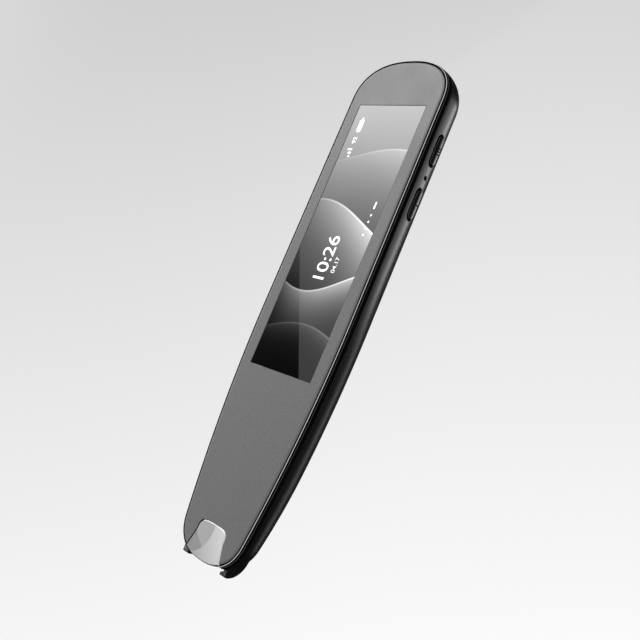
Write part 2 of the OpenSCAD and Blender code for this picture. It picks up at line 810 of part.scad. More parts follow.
module battery_leads() {
    y1 = board_y0 + 4;
    color("red") in_frame()
        for (x = [-1.2, 0, 1.2])
            wire([x, battery_y0 - 1.45, battery_z + 2.2], [x, y1 + 0.25, board_z - 0.6], 0.35);
}

module battery_tape() {
    color("gray") in_frame()
        block([-6, battery_y0 + 3.5, wall], [6, battery_y0 + battery_size[1] - 3.5, battery_z]);
}

// ---- charging socket, ribbon and antenna at the upper end ----

module usb_port() {
    y0 = usb_mouth_y - usb_size[1];
    shell = 0.25;
    color("silver") in_frame() {
        difference() {
            usb_shape(y0, usb_mouth_y, 0);
            usb_shape(y0 + 0.6, usb_mouth_y + 1, -shell);
        }
        block([-3.3, y0 + 0.3, usb_z - 0.35], [3.3, usb_mouth_y - 0.8, usb_z + 0.35]);
    }
}

module usb_board() {
    color("darkgreen") in_frame() difference() {
        block([-usb_board_size[0] / 2, usb_board_y0, usb_board_z],
              [usb_board_size[0] / 2, usb_board_y0 + usb_board_size[1], usb_board_z + usb_board_t]);
        both_sides() translate([usb_screw_x, usb_screw_y, usb_board_z - 1])
            cylinder(r = screw_r + screw_clear, h = 3);
    }
}

module tail_flex() {
    color("orange") in_frame()
        block([-4, board_y0 + board_size[1] - 3.4, flex_z], [4, usb_board_y0 + 1, flex_z + flex_t]);
}

module antenna() {
    color("goldenrod") in_frame()
        block([-8, y_top - 5.6, z_seam - 0.2], [8, y_top - 2.6, z_seam]);
}

// A thin cable from the antenna to the main board, under the display's pocket
module antenna_cable() {
    r = 0.4;
    x = -8.3;
    z = z_pocket - 0.5;
    y0 = board_y0 + board_size[1] - 3;
    y1 = y_top - 9;
    color("black") in_frame() {
        wire([x, y0, board_top], [x, y0, z], r);
        wire([x, y0 - r / 2, z], [x, y1 + r / 2, z], r * 0.95);
        wire([x, y1, z - r / 2], [x + 0.6, y_top - 4.6, z_seam - 0.7], r);
    }
}

// ---- scanning optics ----

// Black chamber behind the scan opening: side walls, back wall and front bulkhead
module scan_chamber() {
    x0 = chamber_in;
    x1 = chamber_in + chamber_t;
    y_front = notch_y + 0.2;
    y_back = chamber_back + chamber_wall;
    side = concat(
        [for (k = [0:8]) let (y = y_front + (y_back - y_front) * k / 8) [y, floor_z(x1, y) + 0.3]],
        [[y_back, z_seam], [y_front, z_seam]]);
    color("#181818") in_frame() {
        both_sides() along_x(x0, x1) polygon(side);
        difference() {
            block([-x0 - eps, chamber_back, floor_z(x1, chamber_back) + 0.2], [x0 + eps, y_back, z_seam]);
            translate([0, y_back + 1, camera_z]) rotate([90, 0, 0]) cylinder(r = barrel_r + 0.1, h = 4);
        }
        along_x(-x0 - eps, x0 + eps) polygon([
            [ramp_y[1], ramp_z[1]], [ramp_y[1] + 0.75, ramp_z[1] + 0.72],
            [y_tip + window_len + 0.6, z_seam], [y_tip + window_len - 0.3, z_seam]]);
    }
}

// Extrudes a profile, drawn as Y and Z, along X
module along_x(x0, x1) {
    translate([x0, 0, 0]) rotate([90, 0, 90]) linear_extrude(x1 - x0) children();
}

module scan_window() {
    run = ramp_y[0] - ramp_y[1];
    climb = ramp_z[1] - ramp_z[0];
    length = norm([run, climb]);
    dy = ramp_t * climb / length;
    dz = ramp_t * run / length;
    // Height of the inner face where the plate meets the edge of the opening
    z_in = ramp_z[0] + dz + dy * climb / run;
    color("#101010") in_frame() along_x(-window_x, window_x) polygon([
        [ramp_y[0], ramp_z[0]], [ramp_y[1] + 0.02, ramp_z[1] - 0.02],
        [ramp_y[1] + dy, ramp_z[1] + dz - 0.04], [ramp_y[0], z_in]]);
}

module camera_module() {
    color("#202020") in_frame()
        block([-camera_size[0] / 2, camera_y0, camera_z - camera_size[2] / 2],
              [camera_size[0] / 2, camera_y0 + camera_size[1], camera_z + camera_size[2] / 2]);
}

module camera_lens() {
    color("#303030") in_frame() translate([0, camera_y0, camera_z]) rotate([90, 0, 0]) difference() {
        cylinder(r = barrel_r, h = barrel_len);
        translate([0, 0, barrel_len - 0.5]) cylinder(r = 1, h = 1);
    }
}

module camera_board() {
    y = camera_y0 + camera_size[1];
    color("darkgreen") in_frame() block([-3.6, y, camera_z - 3], [3.6, y + 0.8, camera_z + 3.2]);
}

// A ribbon from the camera's board, under the trigger's beam, to the main board
module camera_flex() {
    y0 = camera_y0 + camera_size[1] + 0.8;
    z = camera_z - 1;
    color("orange") in_frame() {
        block([-2.5, y0, z], [2.5, board_y0 + 0.8, z + flex_t]);
        block([-2.5, board_y0 + 0.8 - flex_t, z + flex_t], [2.5, board_y0 + 0.8, board_z]);
    }
}

module light_board() {
    color("white") in_frame() difference() {
        block([-chamber_in + 0.1, chamber_back - light_board_t, camera_z - 1.9],
              [chamber_in - 0.1, chamber_back, camera_z + 3.4]);
        translate([0, chamber_back + 1, camera_z]) rotate([90, 0, 0]) cylinder(r = barrel_r + 0.1, h = 3);
    }
}

module scan_leds() {
    y = chamber_back - light_board_t;
    color("lightyellow") in_frame() both_sides()
        block([led_x - led_size[0] / 2, y - led_size[1], camera_z - led_size[2] / 2],
              [led_x + led_size[0] / 2, y, camera_z + led_size[2] / 2]);
}

// ---- trigger ----

// The side of a skid with its back raised by up, as points at x, from its root round its toe
function skid_side(x, up) =
    let (toe = y_tip - skid_reach, bend = toe_top - toe_round, run = skid_root - skid_straight - toe,
         corner = toe_round * (1 - cos(45)))
    concat(
        [[x, skid_root, toe_top], [x, toe + toe_round, toe_top], [x, toe + corner, toe_top - corner]],
        [for (t = [0:10:80])
            [x, toe + run * (1 - cos(t)), bend + (skid_low + up - bend) * sin(t)]],
        [[x, toe + run, skid_low + up], [x, skid_root, skid_low + up]]);

// A skid's block: straight along its flat strip, then sloped to its outer face
module skid_block() {
    rings = [skid_side(skid_in, 0), skid_side(skid_in + skid_flat, 0), skid_side(skid_out, skid_slope)];
    n = len(rings[0]);
    polyhedron([for (r = rings) for (p = r) p], concat(
        [for (j = [0, 1]) for (k = [0:n - 1])
            let (a = j * n + k, b = j * n + (k + 1) % n)
            each [[a, b + n, b], [a, a + n, b + n]]],
        [[for (k = [0:n - 1]) k]], [[for (k = [n - 1:-1:0]) 2 * n + k]]));
}

// Plan of everything that stays clear of the frame's end: the part in front of it may rise
module clear_of_frame() {
    difference() {
        block([skid_in, y_tip - 5, skid_top], [skid_out, skid_root, body_thick]);
        translate([0, 0, skid_top - 1]) linear_extrude(body_thick)
            polygon(outline(-rim_out - skid_travel - skid_gap));
    }
}

module trigger_bracket() {
    color("#101010") in_frame() difference() {
        union() {
            both_sides() {
                // Skid with a round root, and its arm inside the cover
                intersection() {
                    skid_block();
                    union() {
                        block([skid_in, y_tip - 5, -1], [skid_out, skid_root - skid_t / 2, skid_top]);
                        translate([skid_mid, skid_root - skid_t / 2, -1]) cylinder(r = skid_t / 2, h = skid_top + 1);
                        clear_of_frame();
                    }
                }
                block([skid_in, skid_root - skid_t, arm_z], [skid_in + arm_t, beam_y0 + eps, skid_top]);
                block([skid_in - lug_grow, lug_y0, arm_z], [skid_in + arm_t + lug_grow, beam_y0 + eps, skid_top]);
            }
            block([-skid_in - arm_t - lug_grow, beam_y0, arm_z],
                  [skid_in + arm_t + lug_grow, beam_y0 + beam_len, skid_top]);
        }
        both_sides() translate([pin_x, beam_y0 + beam_len + 1, pin_z]) rotate([90, 0, 0])
            cylinder(r = pin_r + pin_clear, h = pin_reach + skid_travel + 1.4);
    }
}

// A coil spring along Y between the beam and the rib, as one swept wire
module spring(x) {
    y0 = beam_y0 + beam_len + spring_wire + 0.03;
    length = rib_y0 - y0 - spring_wire - 0.03;
    steps = spring_turns * 16;
    corners = 6;
    points = [for (k = [0:steps]) for (c = [0:corners - 1])
        let (t = 360 * spring_turns * k / steps, b = 360 * c / corners, r = spring_r + spring_wire * cos(b))
        [x + r * cos(t), y0 + length * k / steps + spring_wire * sin(b), pin_z + r * sin(t)]];
    skin = [for (k = [0:steps - 1]) for (c = [0:corners - 1])
        let (a = k * corners + c, b = k * corners + (c + 1) % corners, d = a + corners, e = b + corners)
        each [[a, e, b], [a, d, e]]];
    polyhedron(points, concat(skin,
        [[for (c = [0:corners - 1]) c]],
        [[for (c = [corners - 1:-1:0]) steps * corners + c]]));
}

module trigger_springs() {
    color("silver") in_frame() {
        spring(pin_x);
        spring(-pin_x);
    }
}

module guide_pins() {
    color("silver") in_frame() both_sides()
        translate([pin_x, rib_y0 + rib_len, pin_z]) rotate([90, 0, 0])
            cylinder(r = pin_r, h = rib_y0 + rib_len - beam_y0 - beam_len + pin_reach);
}

module trigger_switch() {
    color("dimgray") in_frame() difference() {
        block([-tact_size[0] / 2, rib_y0 - tact_size[1], pin_z - tact_size[2] / 2],
              [tact_size[0] / 2, rib_y0, pin_z + tact_size[2] / 2]);
        translate([0, rib_y0 - 0.2, pin_z]) rotate([90, 0, 0]) cylinder(r = 0.8 + plunger_clear, h = 3);
    }
}

module trigger_plunger() {
    color("white") in_frame()
        translate([0, rib_y0 - tact_size[1] + 0.4, pin_z]) rotate([90, 0, 0])
            cylinder(r = 0.8, h = rib_y0 - tact_size[1] + 0.4 - beam_y0 - beam_len);
}

// ---- fasteners ----

// A pan-head screw that points down from the origin of its head
module screw(length) {
    difference() {
        union() {
            cylinder(r = head_r, h = head_h);
            translate([0, 0, -length]) cylinder(r = screw_r, h = length + eps);
        }
        translate([-0.9, -0.15, head_h - 0.25]) cube([1.8, 0.3, 1]);
        translate([-0.15, -0.9, head_h - 0.25]) cube([0.3, 1.8, 1]);
    }
}

module frame_screws() {
    color("gray") in_frame()
        for (s = frame_screw_at)
            both_sides() translate([s[0], s[1], z_plate_top - head_h - 0.05]) screw(frame_screw_len - 0.9);
}

module board_screws() {
    color("gray") in_frame() both_sides() {
        translate([board_screw_x, board_screw_y[0], board_z]) rotate([180, 0, 0]) screw(2.6);
        translate([board_screw_x, board_screw_y[1], board_z]) rotate([180, 0, 0]) screw(1.9);
        translate([usb_screw_x, usb_screw_y, usb_board_z]) rotate([180, 0, 0]) screw(1.5);
    }
}

front_panel();
screen_lens();
viewing_window();
panel_tape();
touch_sensor();
display_module();
display_flex();
mid_frame();
rear_cover();
speaker_grille();
grille_mesh();
speaker_gasket();
speaker_basket();
speaker_cone();
speaker_magnet();
speaker_leads();
upper_button();
lower_button();
upper_key_plunger();
lower_key_plunger();
key_switches();
key_board();
microphone();
microphone_seal();
main_board();
main_chips();
shield_cans();
board_connectors();
battery();
battery_protection();
battery_leads();
battery_tape();
usb_port();
usb_board();
tail_flex();
antenna();
antenna_cable();
scan_chamber();
scan_window();
camera_module();
camera_lens();
camera_board();
camera_flex();
light_board();
scan_leds();
trigger_bracket();
trigger_springs();
guide_pins();
trigger_switch();
trigger_plunger();
frame_screws();
board_screws();
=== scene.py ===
import bpy
import bmesh
import math
import numpy as np
from mathutils import Matrix, Vector


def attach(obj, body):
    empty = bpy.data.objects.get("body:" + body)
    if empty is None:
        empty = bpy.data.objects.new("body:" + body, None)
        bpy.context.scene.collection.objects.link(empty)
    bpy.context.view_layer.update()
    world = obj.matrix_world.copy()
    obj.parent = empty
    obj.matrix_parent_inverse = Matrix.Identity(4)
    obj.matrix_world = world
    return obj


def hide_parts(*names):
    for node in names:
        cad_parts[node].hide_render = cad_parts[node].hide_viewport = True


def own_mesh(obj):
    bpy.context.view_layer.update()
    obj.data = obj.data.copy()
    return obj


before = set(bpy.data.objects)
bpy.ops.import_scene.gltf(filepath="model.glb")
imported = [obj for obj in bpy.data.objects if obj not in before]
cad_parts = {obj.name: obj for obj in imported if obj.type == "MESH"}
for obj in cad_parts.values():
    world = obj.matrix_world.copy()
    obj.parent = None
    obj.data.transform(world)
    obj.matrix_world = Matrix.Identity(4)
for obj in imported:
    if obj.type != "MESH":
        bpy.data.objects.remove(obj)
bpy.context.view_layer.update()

# ---- Rear cover ----
# The black housing: one moulded shell with a flat back and round edges. It is open at the front,
# with slots for the keys, a seat for the speaker, a scan opening and a notched nose.
MIDDLE = 18.51     # from the screen's lower edge, where lengths are measured, to the pen's middle
SEAM = 9.75        # level of the joint between cover and frame
EDGE = 9.8         # how far in the rounding of the back reaches
RIM = 0.42         # gap and rim outside the panel's outline
WALL = 1.4
WIDEST, WIDEST_Y = 16.685, 15.3          # half the panel's width at its widest, and where that is
CAP_LESS, TIP_CURVE = 0.45, 676          # how much narrower it is at the cap; its curve to the tip
TIP, TOE, CAP = -48.7, -40.6, 75.1       # the tip, and where the two round ends begin
TIP_LONG, CAP_LONG = 8.1, 10.8           # how far the round ends reach
TIP_LESS = 7.3                           # how much less the tip reaches on the flat back
TIP_POWER, CAP_POWER = 0.8, 2 / 2.4      # below 1, an end is squarer than half an ellipse
RISE_Y, RISE_CURVE = -20, 294            # from here on the back rises to the tip, along this curve


def pen_metres(points):
    """Millimetres from the screen's lower edge, as metres in the pen's own frame."""
    p = np.array(points, float).reshape(-1, 3)
    p[:, 1] -= MIDDLE
    return p * 0.001


def side_half_width(y):
    """Half the panel's width: it narrows evenly to the cap, and along a parabola to the tip."""
    off = np.asarray(y, float) - WIDEST_Y
    return WIDEST - np.where(off > 0, off * CAP_LESS / (CAP - WIDEST_Y), off ** 2 / TIP_CURVE)


def pen_outline(inset, end_steps=40, side_steps=60):
    """The panel's outline moved in, from the tip up the right side and down the left."""
    t = np.radians(np.linspace(0, 90, end_steps + 1))
    tip_reach = TIP_LONG - inset if inset <= 0 else TIP_LONG - inset * TIP_LESS / EDGE
    y0 = TOE - tip_reach * np.cos(t) ** TIP_POWER
    x0 = (side_half_width(y0) - inset) * np.sin(t) ** TIP_POWER
    y1 = TOE + (CAP - TOE) * np.arange(1, side_steps) / side_steps
    x1 = side_half_width(y1) - inset
    y2 = CAP + (CAP_LONG - inset) * np.cos(t[::-1]) ** CAP_POWER
    x2 = (side_half_width(y2) - inset) * np.sin(t[::-1]) ** CAP_POWER
    right = np.c_[np.r_[x0, x1, x2], np.r_[y0, y1, y2]]
    right[0, 0] = right[-1, 0] = 0
    left = right[-2:0:-1] * [-1, 1]
    return np.r_[right, left]


def flat_ring(inset, z, **steps):
    """The pen's outline, moved in, at one level."""
    o = pen_outline(inset, **steps)
    return np.c_[o, np.full(len(o), z)]


def back_ring(angle, skin, **steps):
    """A ring of the rounded back: 0 degrees at the seam, 90 at the flat back."""
    a = math.radians(angle)
    o = pen_outline(skin - RIM + (EDGE - skin) * (1 - math.cos(a)), **steps)
    rise = np.where(o[:, 1] < RISE_Y, (RISE_Y - o[:, 1]) ** 2 / RISE_CURVE, 0)
    return np.c_[o, SEAM - (SEAM - skin - rise) * math.sin(a)]


def ring_faces(count, rings):
    """The faces between rings of equal point count that follow one another."""
    return [(j * count + k, j * count + (k + 1) % count, (j + 1) * count + (k + 1) % count,
             (j + 1) * count + k) for j in range(rings - 1) for k in range(count)]


def strip_faces(start, count):
    """Closes a symmetric ring with strips that run across the pen."""
    h = count // 2
    s = start
    faces = [(s, s + 1, s + count - 1), (s + h - 1, s + h, s + h + 1)]
    return faces + [(s + k, s + k + 1, s + count - k - 1, s + count - k) for k in range(1, h - 1)]


def new_piece(name, points, faces):
    """A new object from points in millimetres, with its faces turned outwards."""
    mesh = bpy.data.meshes.new(name)
    mesh.from_pydata([tuple(p) for p in pen_metres(points)], [], faces)
    b = bmesh.new()
    b.from_mesh(mesh)
    bmesh.ops.remove_doubles(b, verts=b.verts, dist=1e-7)
    bmesh.ops.recalc_face_normals(b, faces=b.faces)
    b.to_mesh(mesh)
    b.free()
    piece = bpy.data.objects.new(name, mesh)
    bpy.context.scene.collection.objects.link(piece)
    return piece


def stacked(name, rings):
    """A solid through stacked rings of the pen's outline, closed at both ends."""
    n = len(rings[0])
    faces = ring_faces(n, len(rings)) + strip_faces(0, n) + strip_faces((len(rings) - 1) * n, n)
    return new_piece(name, np.concatenate(rings), faces)


def lofted(name, rings):
    """A solid through rings of equal point count, with a flat face at each end."""
    n = len(rings[0])
    last = (len(rings) - 1) * n
    faces = ring_faces(n, len(rings)) + [tuple(range(n)), tuple(range(last + n - 1, last - 1, -1))]
    return new_piece(name, np.concatenate(rings), faces)


def bar(name, outline, axis, low, high):
    """A closed outline drawn out along an axis. The outline holds the two other coordinates."""
    o = np.asarray(outline, float)
    return lofted(name, [np.insert(o, axis, v, axis=1) for v in (low, high)])


def box(name, low, high):
    return bar(name, [(low[0], low[1]), (high[0], low[1]), (high[0], high[1]), (low[0], high[1])],
               2, low[2], high[2])


def side_box(name, side, x, y, z):
    """A box beside the middle line, between two values each way: side is 1 right, -1 left."""
    left, right = sorted((side * x[0], side * x[1]))
    return box(name, (left, y[0], z[0]), (right, y[1], z[1]))


def circle(u, v, r, steps=48):
    t = np.linspace(0, 2 * math.pi, steps, endpoint=False)
    return np.c_[u + r * np.cos(t), v + r * np.sin(t)]


def round_box(u, v, half_u, half_v, r, steps=8):
    """A rectangle with round corners about a middle point."""
    points = []
    for k, (su, sv) in enumerate(((1, 1), (-1, 1), (-1, -1), (1, -1))):
        t = np.radians(90 * k + np.linspace(0, 90, steps + 1))
        points.append(np.c_[u + su * (half_u - r) + r * np.cos(t), v + sv * (half_v - r) + r * np.sin(t)])
    return np.concatenate(points)


def settle(piece):
    """Turns a piece's modifiers into its plain mesh."""
    shown = piece.evaluated_get(bpy.context.evaluated_depsgraph_get())
    mesh = bpy.data.meshes.new_from_object(shown)
    piece.modifiers.clear()
    piece.data = mesh
    return piece


def carve(piece, tools, how="DIFFERENCE"):
    """Cuts, joins or keeps the common part of a piece and some tools, and drops the tools."""
    for tool in tools:
        m = piece.modifiers.new("carve", "BOOLEAN")
        m.object, m.operation, m.solver = tool, how, "MANIFOLD"
    settle(piece)
    for tool in tools:
        bpy.data.objects.remove(tool)
    return piece


def smooth_faces(piece, angle=28):
    """Smooth shading that stays crisp at sharp edges and level on wide faces."""
    b = bmesh.new()
    b.from_mesh(piece.data)
    for f in b.faces:
        f.smooth = True
    limit = math.radians(angle)
    for e in b.edges:
        e.smooth = len(e.link_faces) == 2 and e.calc_face_angle(0) < limit
    b.to_mesh(piece.data)
    b.free()
    m = piece.modifiers.new("level", "WEIGHTED_NORMAL")
    m.keep_sharp, m.weight = True, 80
    return settle(piece)


def node(tree, kind, links=None, settings=None, **values):
    """One node: its inputs are linked to other outputs, or set to values."""
    made = tree.nodes.new(kind)
    for key, value in (settings or {}).items():
        setattr(made, key, value)
    for key, value in values.items():
        made.inputs[key.replace("_", " ")].default_value = value
    for key, source in (links or {}).items():
        tree.links.new(source, made.inputs[key])
    return made


def new_finish(name):
    """A new material, its node tree, its shader, and the output with its piece's coordinates."""
    m = bpy.data.materials.new(name)
    m.use_nodes = True
    t = m.node_tree
    return m, t, t.nodes["Principled BSDF"], t.nodes.new("ShaderNodeTexCoord").outputs["Object"]


def moulded(name, colour, rough, grain=4500, depth=0.006, mottle=0.12, metal=0.0, coat=0.0,
            edge=0.0, specular=0.5):
    """A finish with a fine grain: colour and gloss vary a little, and the grain stands out in relief."""
    m, t, p, where = new_finish(name)
    fine = node(t, "ShaderNodeTexNoise", {"Vector": where}, Scale=grain, Detail=2)
    broad = node(t, "ShaderNodeTexNoise", {"Vector": where}, Scale=grain / 30)
    shade = node(t, "ShaderNodeMix", {"Factor": fine.outputs["Fac"]}, {"data_type": "RGBA"},
                 A=(*[c * (1 - mottle) for c in colour], 1),
                 B=(*[min(1, c * (1 + mottle)) for c in colour], 1))
    gloss = node(t, "ShaderNodeMapRange", {"Value": broad.outputs["Fac"]},
                 To_Min=max(0.02, rough * (1 - mottle / 2)), To_Max=min(1, rough * (1 + mottle / 2)))
    relief = node(t, "ShaderNodeBump", {"Height": fine.outputs["Fac"]},
                  Strength=0.6, Distance=depth * 0.001)
    if edge:
        soft = node(t, "ShaderNodeBevel", {}, {"samples": 4}, Radius=edge * 0.001)
        t.links.new(soft.outputs["Normal"], relief.inputs["Normal"])
    for key, source in (("Base Color", shade.outputs["Result"]), ("Roughness", gloss.outputs["Result"]),
                        ("Normal", relief.outputs["Normal"])):
        t.links.new(source, p.inputs[key])
    for key, value in (("Metallic", metal), ("Coat Weight", coat), ("Coat Roughness", 0.2),
                       ("Specular IOR Level", specular)):
        p.inputs[key].default_value = value
    return m


def coat_with(piece, *materials):
    """Gives a piece its materials; its faces start on the first."""
    piece.data.materials.clear()
    for m in materials:
        piece.data.materials.append(m)


KEY_Y, KEY_Z, KEY_LONG, KEY_HIGH = (63.85, 49.45), 6.8, 8.1, 2.5    # the two side keys


def stadium(y, grow_long, grow_high, inset):
    """A key's round-ended outline at a place along the pen, grown and then moved in."""
    half_long = KEY_LONG / 2 + grow_long - inset
    half_high = KEY_HIGH / 2 + grow_high - inset
    return round_box(y, KEY_Z, half_long, half_high, half_high - 1e-4, 14)


def side_wall_x(y, z):
    """How far out the cover's side stands at a place beside the pen."""
    return side_half_width(y) + RIM - EDGE + EDGE * np.sqrt(1 - ((SEAM - z) / SEAM) ** 2)


def soft_mouth(name, outline, radius):
    """A tool for an opening in the side, whose mouth is rounded over."""
    rings = [np.insert(outline(0.0), 0, 13.85, axis=1)]     # starts behind the wall
    for a in np.radians(np.linspace(0, 75, 6)):
        o = outline(radius * (1 - math.cos(a)))
        rings.append(np.insert(o, 0, side_wall_x(*o.T) - radius * (1 - math.sin(a)), axis=1))
    o = outline(radius * 1.5)
    rings.append(np.insert(o, 0, side_wall_x(*o.T) + 0.5, axis=1))
    return lofted(name, rings)


cover_black = moulded("cover_black", (0.005, 0.005, 0.0055), 0.31, grain=6000, depth=0.002,
                      specular=0.4, edge=0.12)
outer = [back_ring(a, 0) for a in np.linspace(0, 90, 37)]
inner = [back_ring(a, WALL) for a in np.linspace(0, 90, 13)]
n = len(outer[0])
joined = outer[::-1] + inner
cover = new_piece("rear_cover_shell", np.concatenate(joined),
                  ring_faces(n, len(joined)) + strip_faces(0, n) + strip_faces((len(joined) - 1) * n, n))
SCREW_Y = (-36.0, -21.2, 79.3)
SCREW_X = [side_half_width(y) - inset for y, inset in zip(SCREW_Y, (2.4, 3.5, 5.6))]
bosses = [bar("boss", circle(s * x, y, r, 32), 2, SEAM - d, SEAM)
          for x, y, r, d in zip(SCREW_X, SCREW_Y, (1.5, 1.9, 1.9), (3.2, 4.7, 6.2)) for s in (-1, 1)]
carve(cover, bosses, "UNION")
SPEAKER_Y, SEAT_DEPTH = 67, 0.95    # the speaker's middle, and how deep its insert is let in
SKID_X = 8.1                        # the middle of each of the nose's two skids
# The openings, as tools that cut them: screw bores, key slots, microphone hole, a pocket for the
# key board, the speaker's seat, the socket's mouth, the scan opening and the nose
tools = [bar("bore", circle(s * x, y, 0.7, 24), 2, SEAM - 2.8, SEAM + 3)
         for x, y in zip(SCREW_X, SCREW_Y) for s in (-1, 1)]
SLOT_GAP, SLOT_ROUND = 0.2, 0.22
tools += [soft_mouth("slot", lambda g, y=y: stadium(y, SLOT_GAP + g, SLOT_GAP + g, 0), SLOT_ROUND)
          for y in KEY_Y]
tools += [soft_mouth("mic", lambda g: circle(56.5, KEY_Z, 0.6 + g, 32), 0.12),
          box("pocket", (11.85, 44.2, 5.0), (14.85, 69.1, 8.7)),
          bar("seat", circle(0, SPEAKER_Y, 9.1, 128), 2, -1, SEAT_DEPTH),
          bar("sound", circle(0, SPEAKER_Y, 7.0, 96), 2, -0.5, 3.4),
          bar("gasket", circle(0, SPEAKER_Y, 8.2, 96), 2, WALL, 4.4),
          bar("mouth", round_box(0, 6.095, 4.55, 1.66, 1.65, 12), 1, 81.4, 87.9),
          bar("opening", round_box(0, -39.0, 4.8, 2.8, 0.7), 2, -1, 6.75),
          box("lip", (-2.3, -44.3, -1), (2.3, -40.8, 6.75)),
          box("notch", (-7.3, -52.7, -1), (7.3, -43.3, 10.75))]
for s in (-1, 1):
    tools += [side_box("skid_slot", s, (6.85, 9.35), (-52.7, -43.4), (-1, 10.75)),
              bar("skid_root", circle(s * SKID_X, -43.4, 1.25, 48), 2, -1, 11.75)]
carve(cover, tools)
# A fine line round the scan opening, cut to an even depth
groove = carve(bar("line", round_box(0, -41, 6.05, 5.95, 1.6), 2, -1, 6),
               [bar("line_in", round_box(0, -41, 5.93, 5.83, 1.5), 2, -1.5, 6.5)])
LINE_DEPTH = 0.13
carve(groove, [stacked("skin", [flat_ring(0.2 - RIM, 12)]
                       + [back_ring(a, LINE_DEPTH) for a in np.linspace(0, 90, 19)])])
carve(cover, [groove])
smooth_faces(cover)
# The walls of the key slots take a near-black, non-shiny finish as painted shade, so the gap round each key
# stays dark
painted_gap_shade = moulded("painted_gap_shade", (0.003, 0.003, 0.003), 0.8, grain=3500, depth=0.001, specular=0.0)
coat_with(cover, cover_black, painted_gap_shade)
for f in cover.data.polygons:
    x, y, z = f.center * 1000
    near_key = min(abs(y + MIDDLE - middle) for middle in KEY_Y) < KEY_LONG / 2 + 0.45
    in_slot = x > 13.5 and abs(z - KEY_Z) < KEY_HIGH / 2 + 0.35 and near_key
    f.material_index = 1 if in_slot and f.normal.x < 0.7 else 0
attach(cover, "body")
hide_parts("rear_cover")

# ---- Speaker ----
# A round insert with three rings of sound holes closes the speaker's seat in the back. Behind it
# lie a fine mesh, a foam ring, and the speaker with its paper cone and magnet.
def node_tree(name, sizes, materials=()):
    """A geometry tree with named sizes, and its inputs by name."""
    tree = bpy.data.node_groups.new(name, "GeometryNodeTree")
    tree.interface.new_socket("Geometry", in_out="INPUT", socket_type="NodeSocketGeometry")
    for key, value in sizes.items():
        kind = "NodeSocketInt" if isinstance(value, int) else "NodeSocketFloat"
        tree.interface.new_socket(key, in_out="INPUT", socket_type=kind).default_value = value
    for key in materials:
        tree.interface.new_socket(key, in_out="INPUT", socket_type="NodeSocketMaterial")
    tree.interface.new_socket("Geometry", in_out="OUTPUT", socket_type="NodeSocketGeometry")
    start = tree.nodes.new("NodeGroupInput")
    end = tree.nodes.new("NodeGroupOutput")
    return tree, start.outputs, end.inputs["Geometry"]


def grow(piece, tree, sizes):
    """Runs a geometry tree on a piece with these sizes and keeps the result as a plain mesh."""
    m = piece.modifiers.new(tree.name, "NODES")
    m.node_group = tree
    for item in tree.interface.items_tree:
        if item.in_out == "INPUT" and item.name in sizes:
            m[item.identifier] = sizes[item.name]
    return settle(piece)


insert = stacked("speaker_insert", [flat_ring(-RIM, SEAM + 0.5)]
                 + [back_ring(a, 0) for a in np.linspace(0, 90, 37)])
carve(insert, [bar("disc", circle(0, SPEAKER_Y, 9.0, 128), 2, -1, SEAT_DEPTH)], "INTERSECT")
holes, given, done = node_tree("ring_of_holes", {"Count": 16, "Ring": 0.0033, "Hole": 0.00034,
                                                "Middle Y": (SPEAKER_Y - MIDDLE) * 0.001})
ring = node(holes, "GeometryNodeMeshCircle", {"Vertices": given["Count"], "Radius": given["Ring"]})
drill = node(holes, "GeometryNodeMeshCylinder", {"Radius": given["Hole"]}, Vertices=20, Depth=0.004)
drills = node(holes, "GeometryNodeInstanceOnPoints",
              {"Points": ring.outputs["Mesh"], "Instance": drill.outputs["Mesh"]})
middle = node(holes, "ShaderNodeCombineXYZ", {"Y": given["Middle Y"]})
solid = node(holes, "GeometryNodeRealizeInstances", {"Geometry": drills.outputs["Instances"]})
placed = node(holes, "GeometryNodeTransform", {"Geometry": solid.outputs["Geometry"],
                                              "Translation": middle.outputs["Vector"]})
drilled = node(holes, "GeometryNodeMeshBoolean",
               {"Mesh 1": given["Geometry"], "Mesh 2": placed.outputs["Geometry"]},
               {"operation": "DIFFERENCE", "solver": "MANIFOLD"})
holes.links.new(drilled.outputs["Mesh"], done)
for count, radius in ((16, 3.3), (16, 4.95), (8, 6.6)):
    grow(insert, holes, {"Count": count, "Ring": radius * 0.001})
smooth_faces(insert)
coat_with(insert, moulded("insert_black", (0.007, 0.007, 0.0075), 0.46, grain=6000, depth=0.004,
                          specular=0.25, edge=0.08))
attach(insert, "body")
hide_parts("speaker_grille")


def finish_node(name, material):
    """Gives a piece of the frame its finish."""
    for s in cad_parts[name].material_slots:
        s.material = material


def woven(name, colour, pitch, rough=0.8):
    """A fine woven cloth or mesh: threads over and under at an even pitch, in millimetres."""
    m = moulded(name, colour, rough, grain=6000, depth=0.01)
    t = m.node_tree
    where = t.nodes.new("ShaderNodeTexCoord").outputs["Object"]
    turns = node(t, "ShaderNodeVectorMath", {0: where}, {"operation": "SCALE"})
    turns.inputs["Scale"].default_value = 2 * math.pi / (pitch * 0.001)
    axes = node(t, "ShaderNodeSeparateXYZ", {0: turns.outputs["Vector"]})
    waves = [node(t, "ShaderNodeMath", {0: axes.outputs[k]}, {"operation": "SINE"}).outputs[0]
             for k in "XY"]
    cross = node(t, "ShaderNodeMath", {0: waves[0], 1: waves[1]}, {"operation": "MULTIPLY"})
    relief = next(k for k in t.nodes if k.bl_idname == "ShaderNodeBump")
    relief.inputs["Distance"].default_value = pitch * 0.0002
    t.links.new(cross.outputs[0], relief.inputs["Height"])
    return m


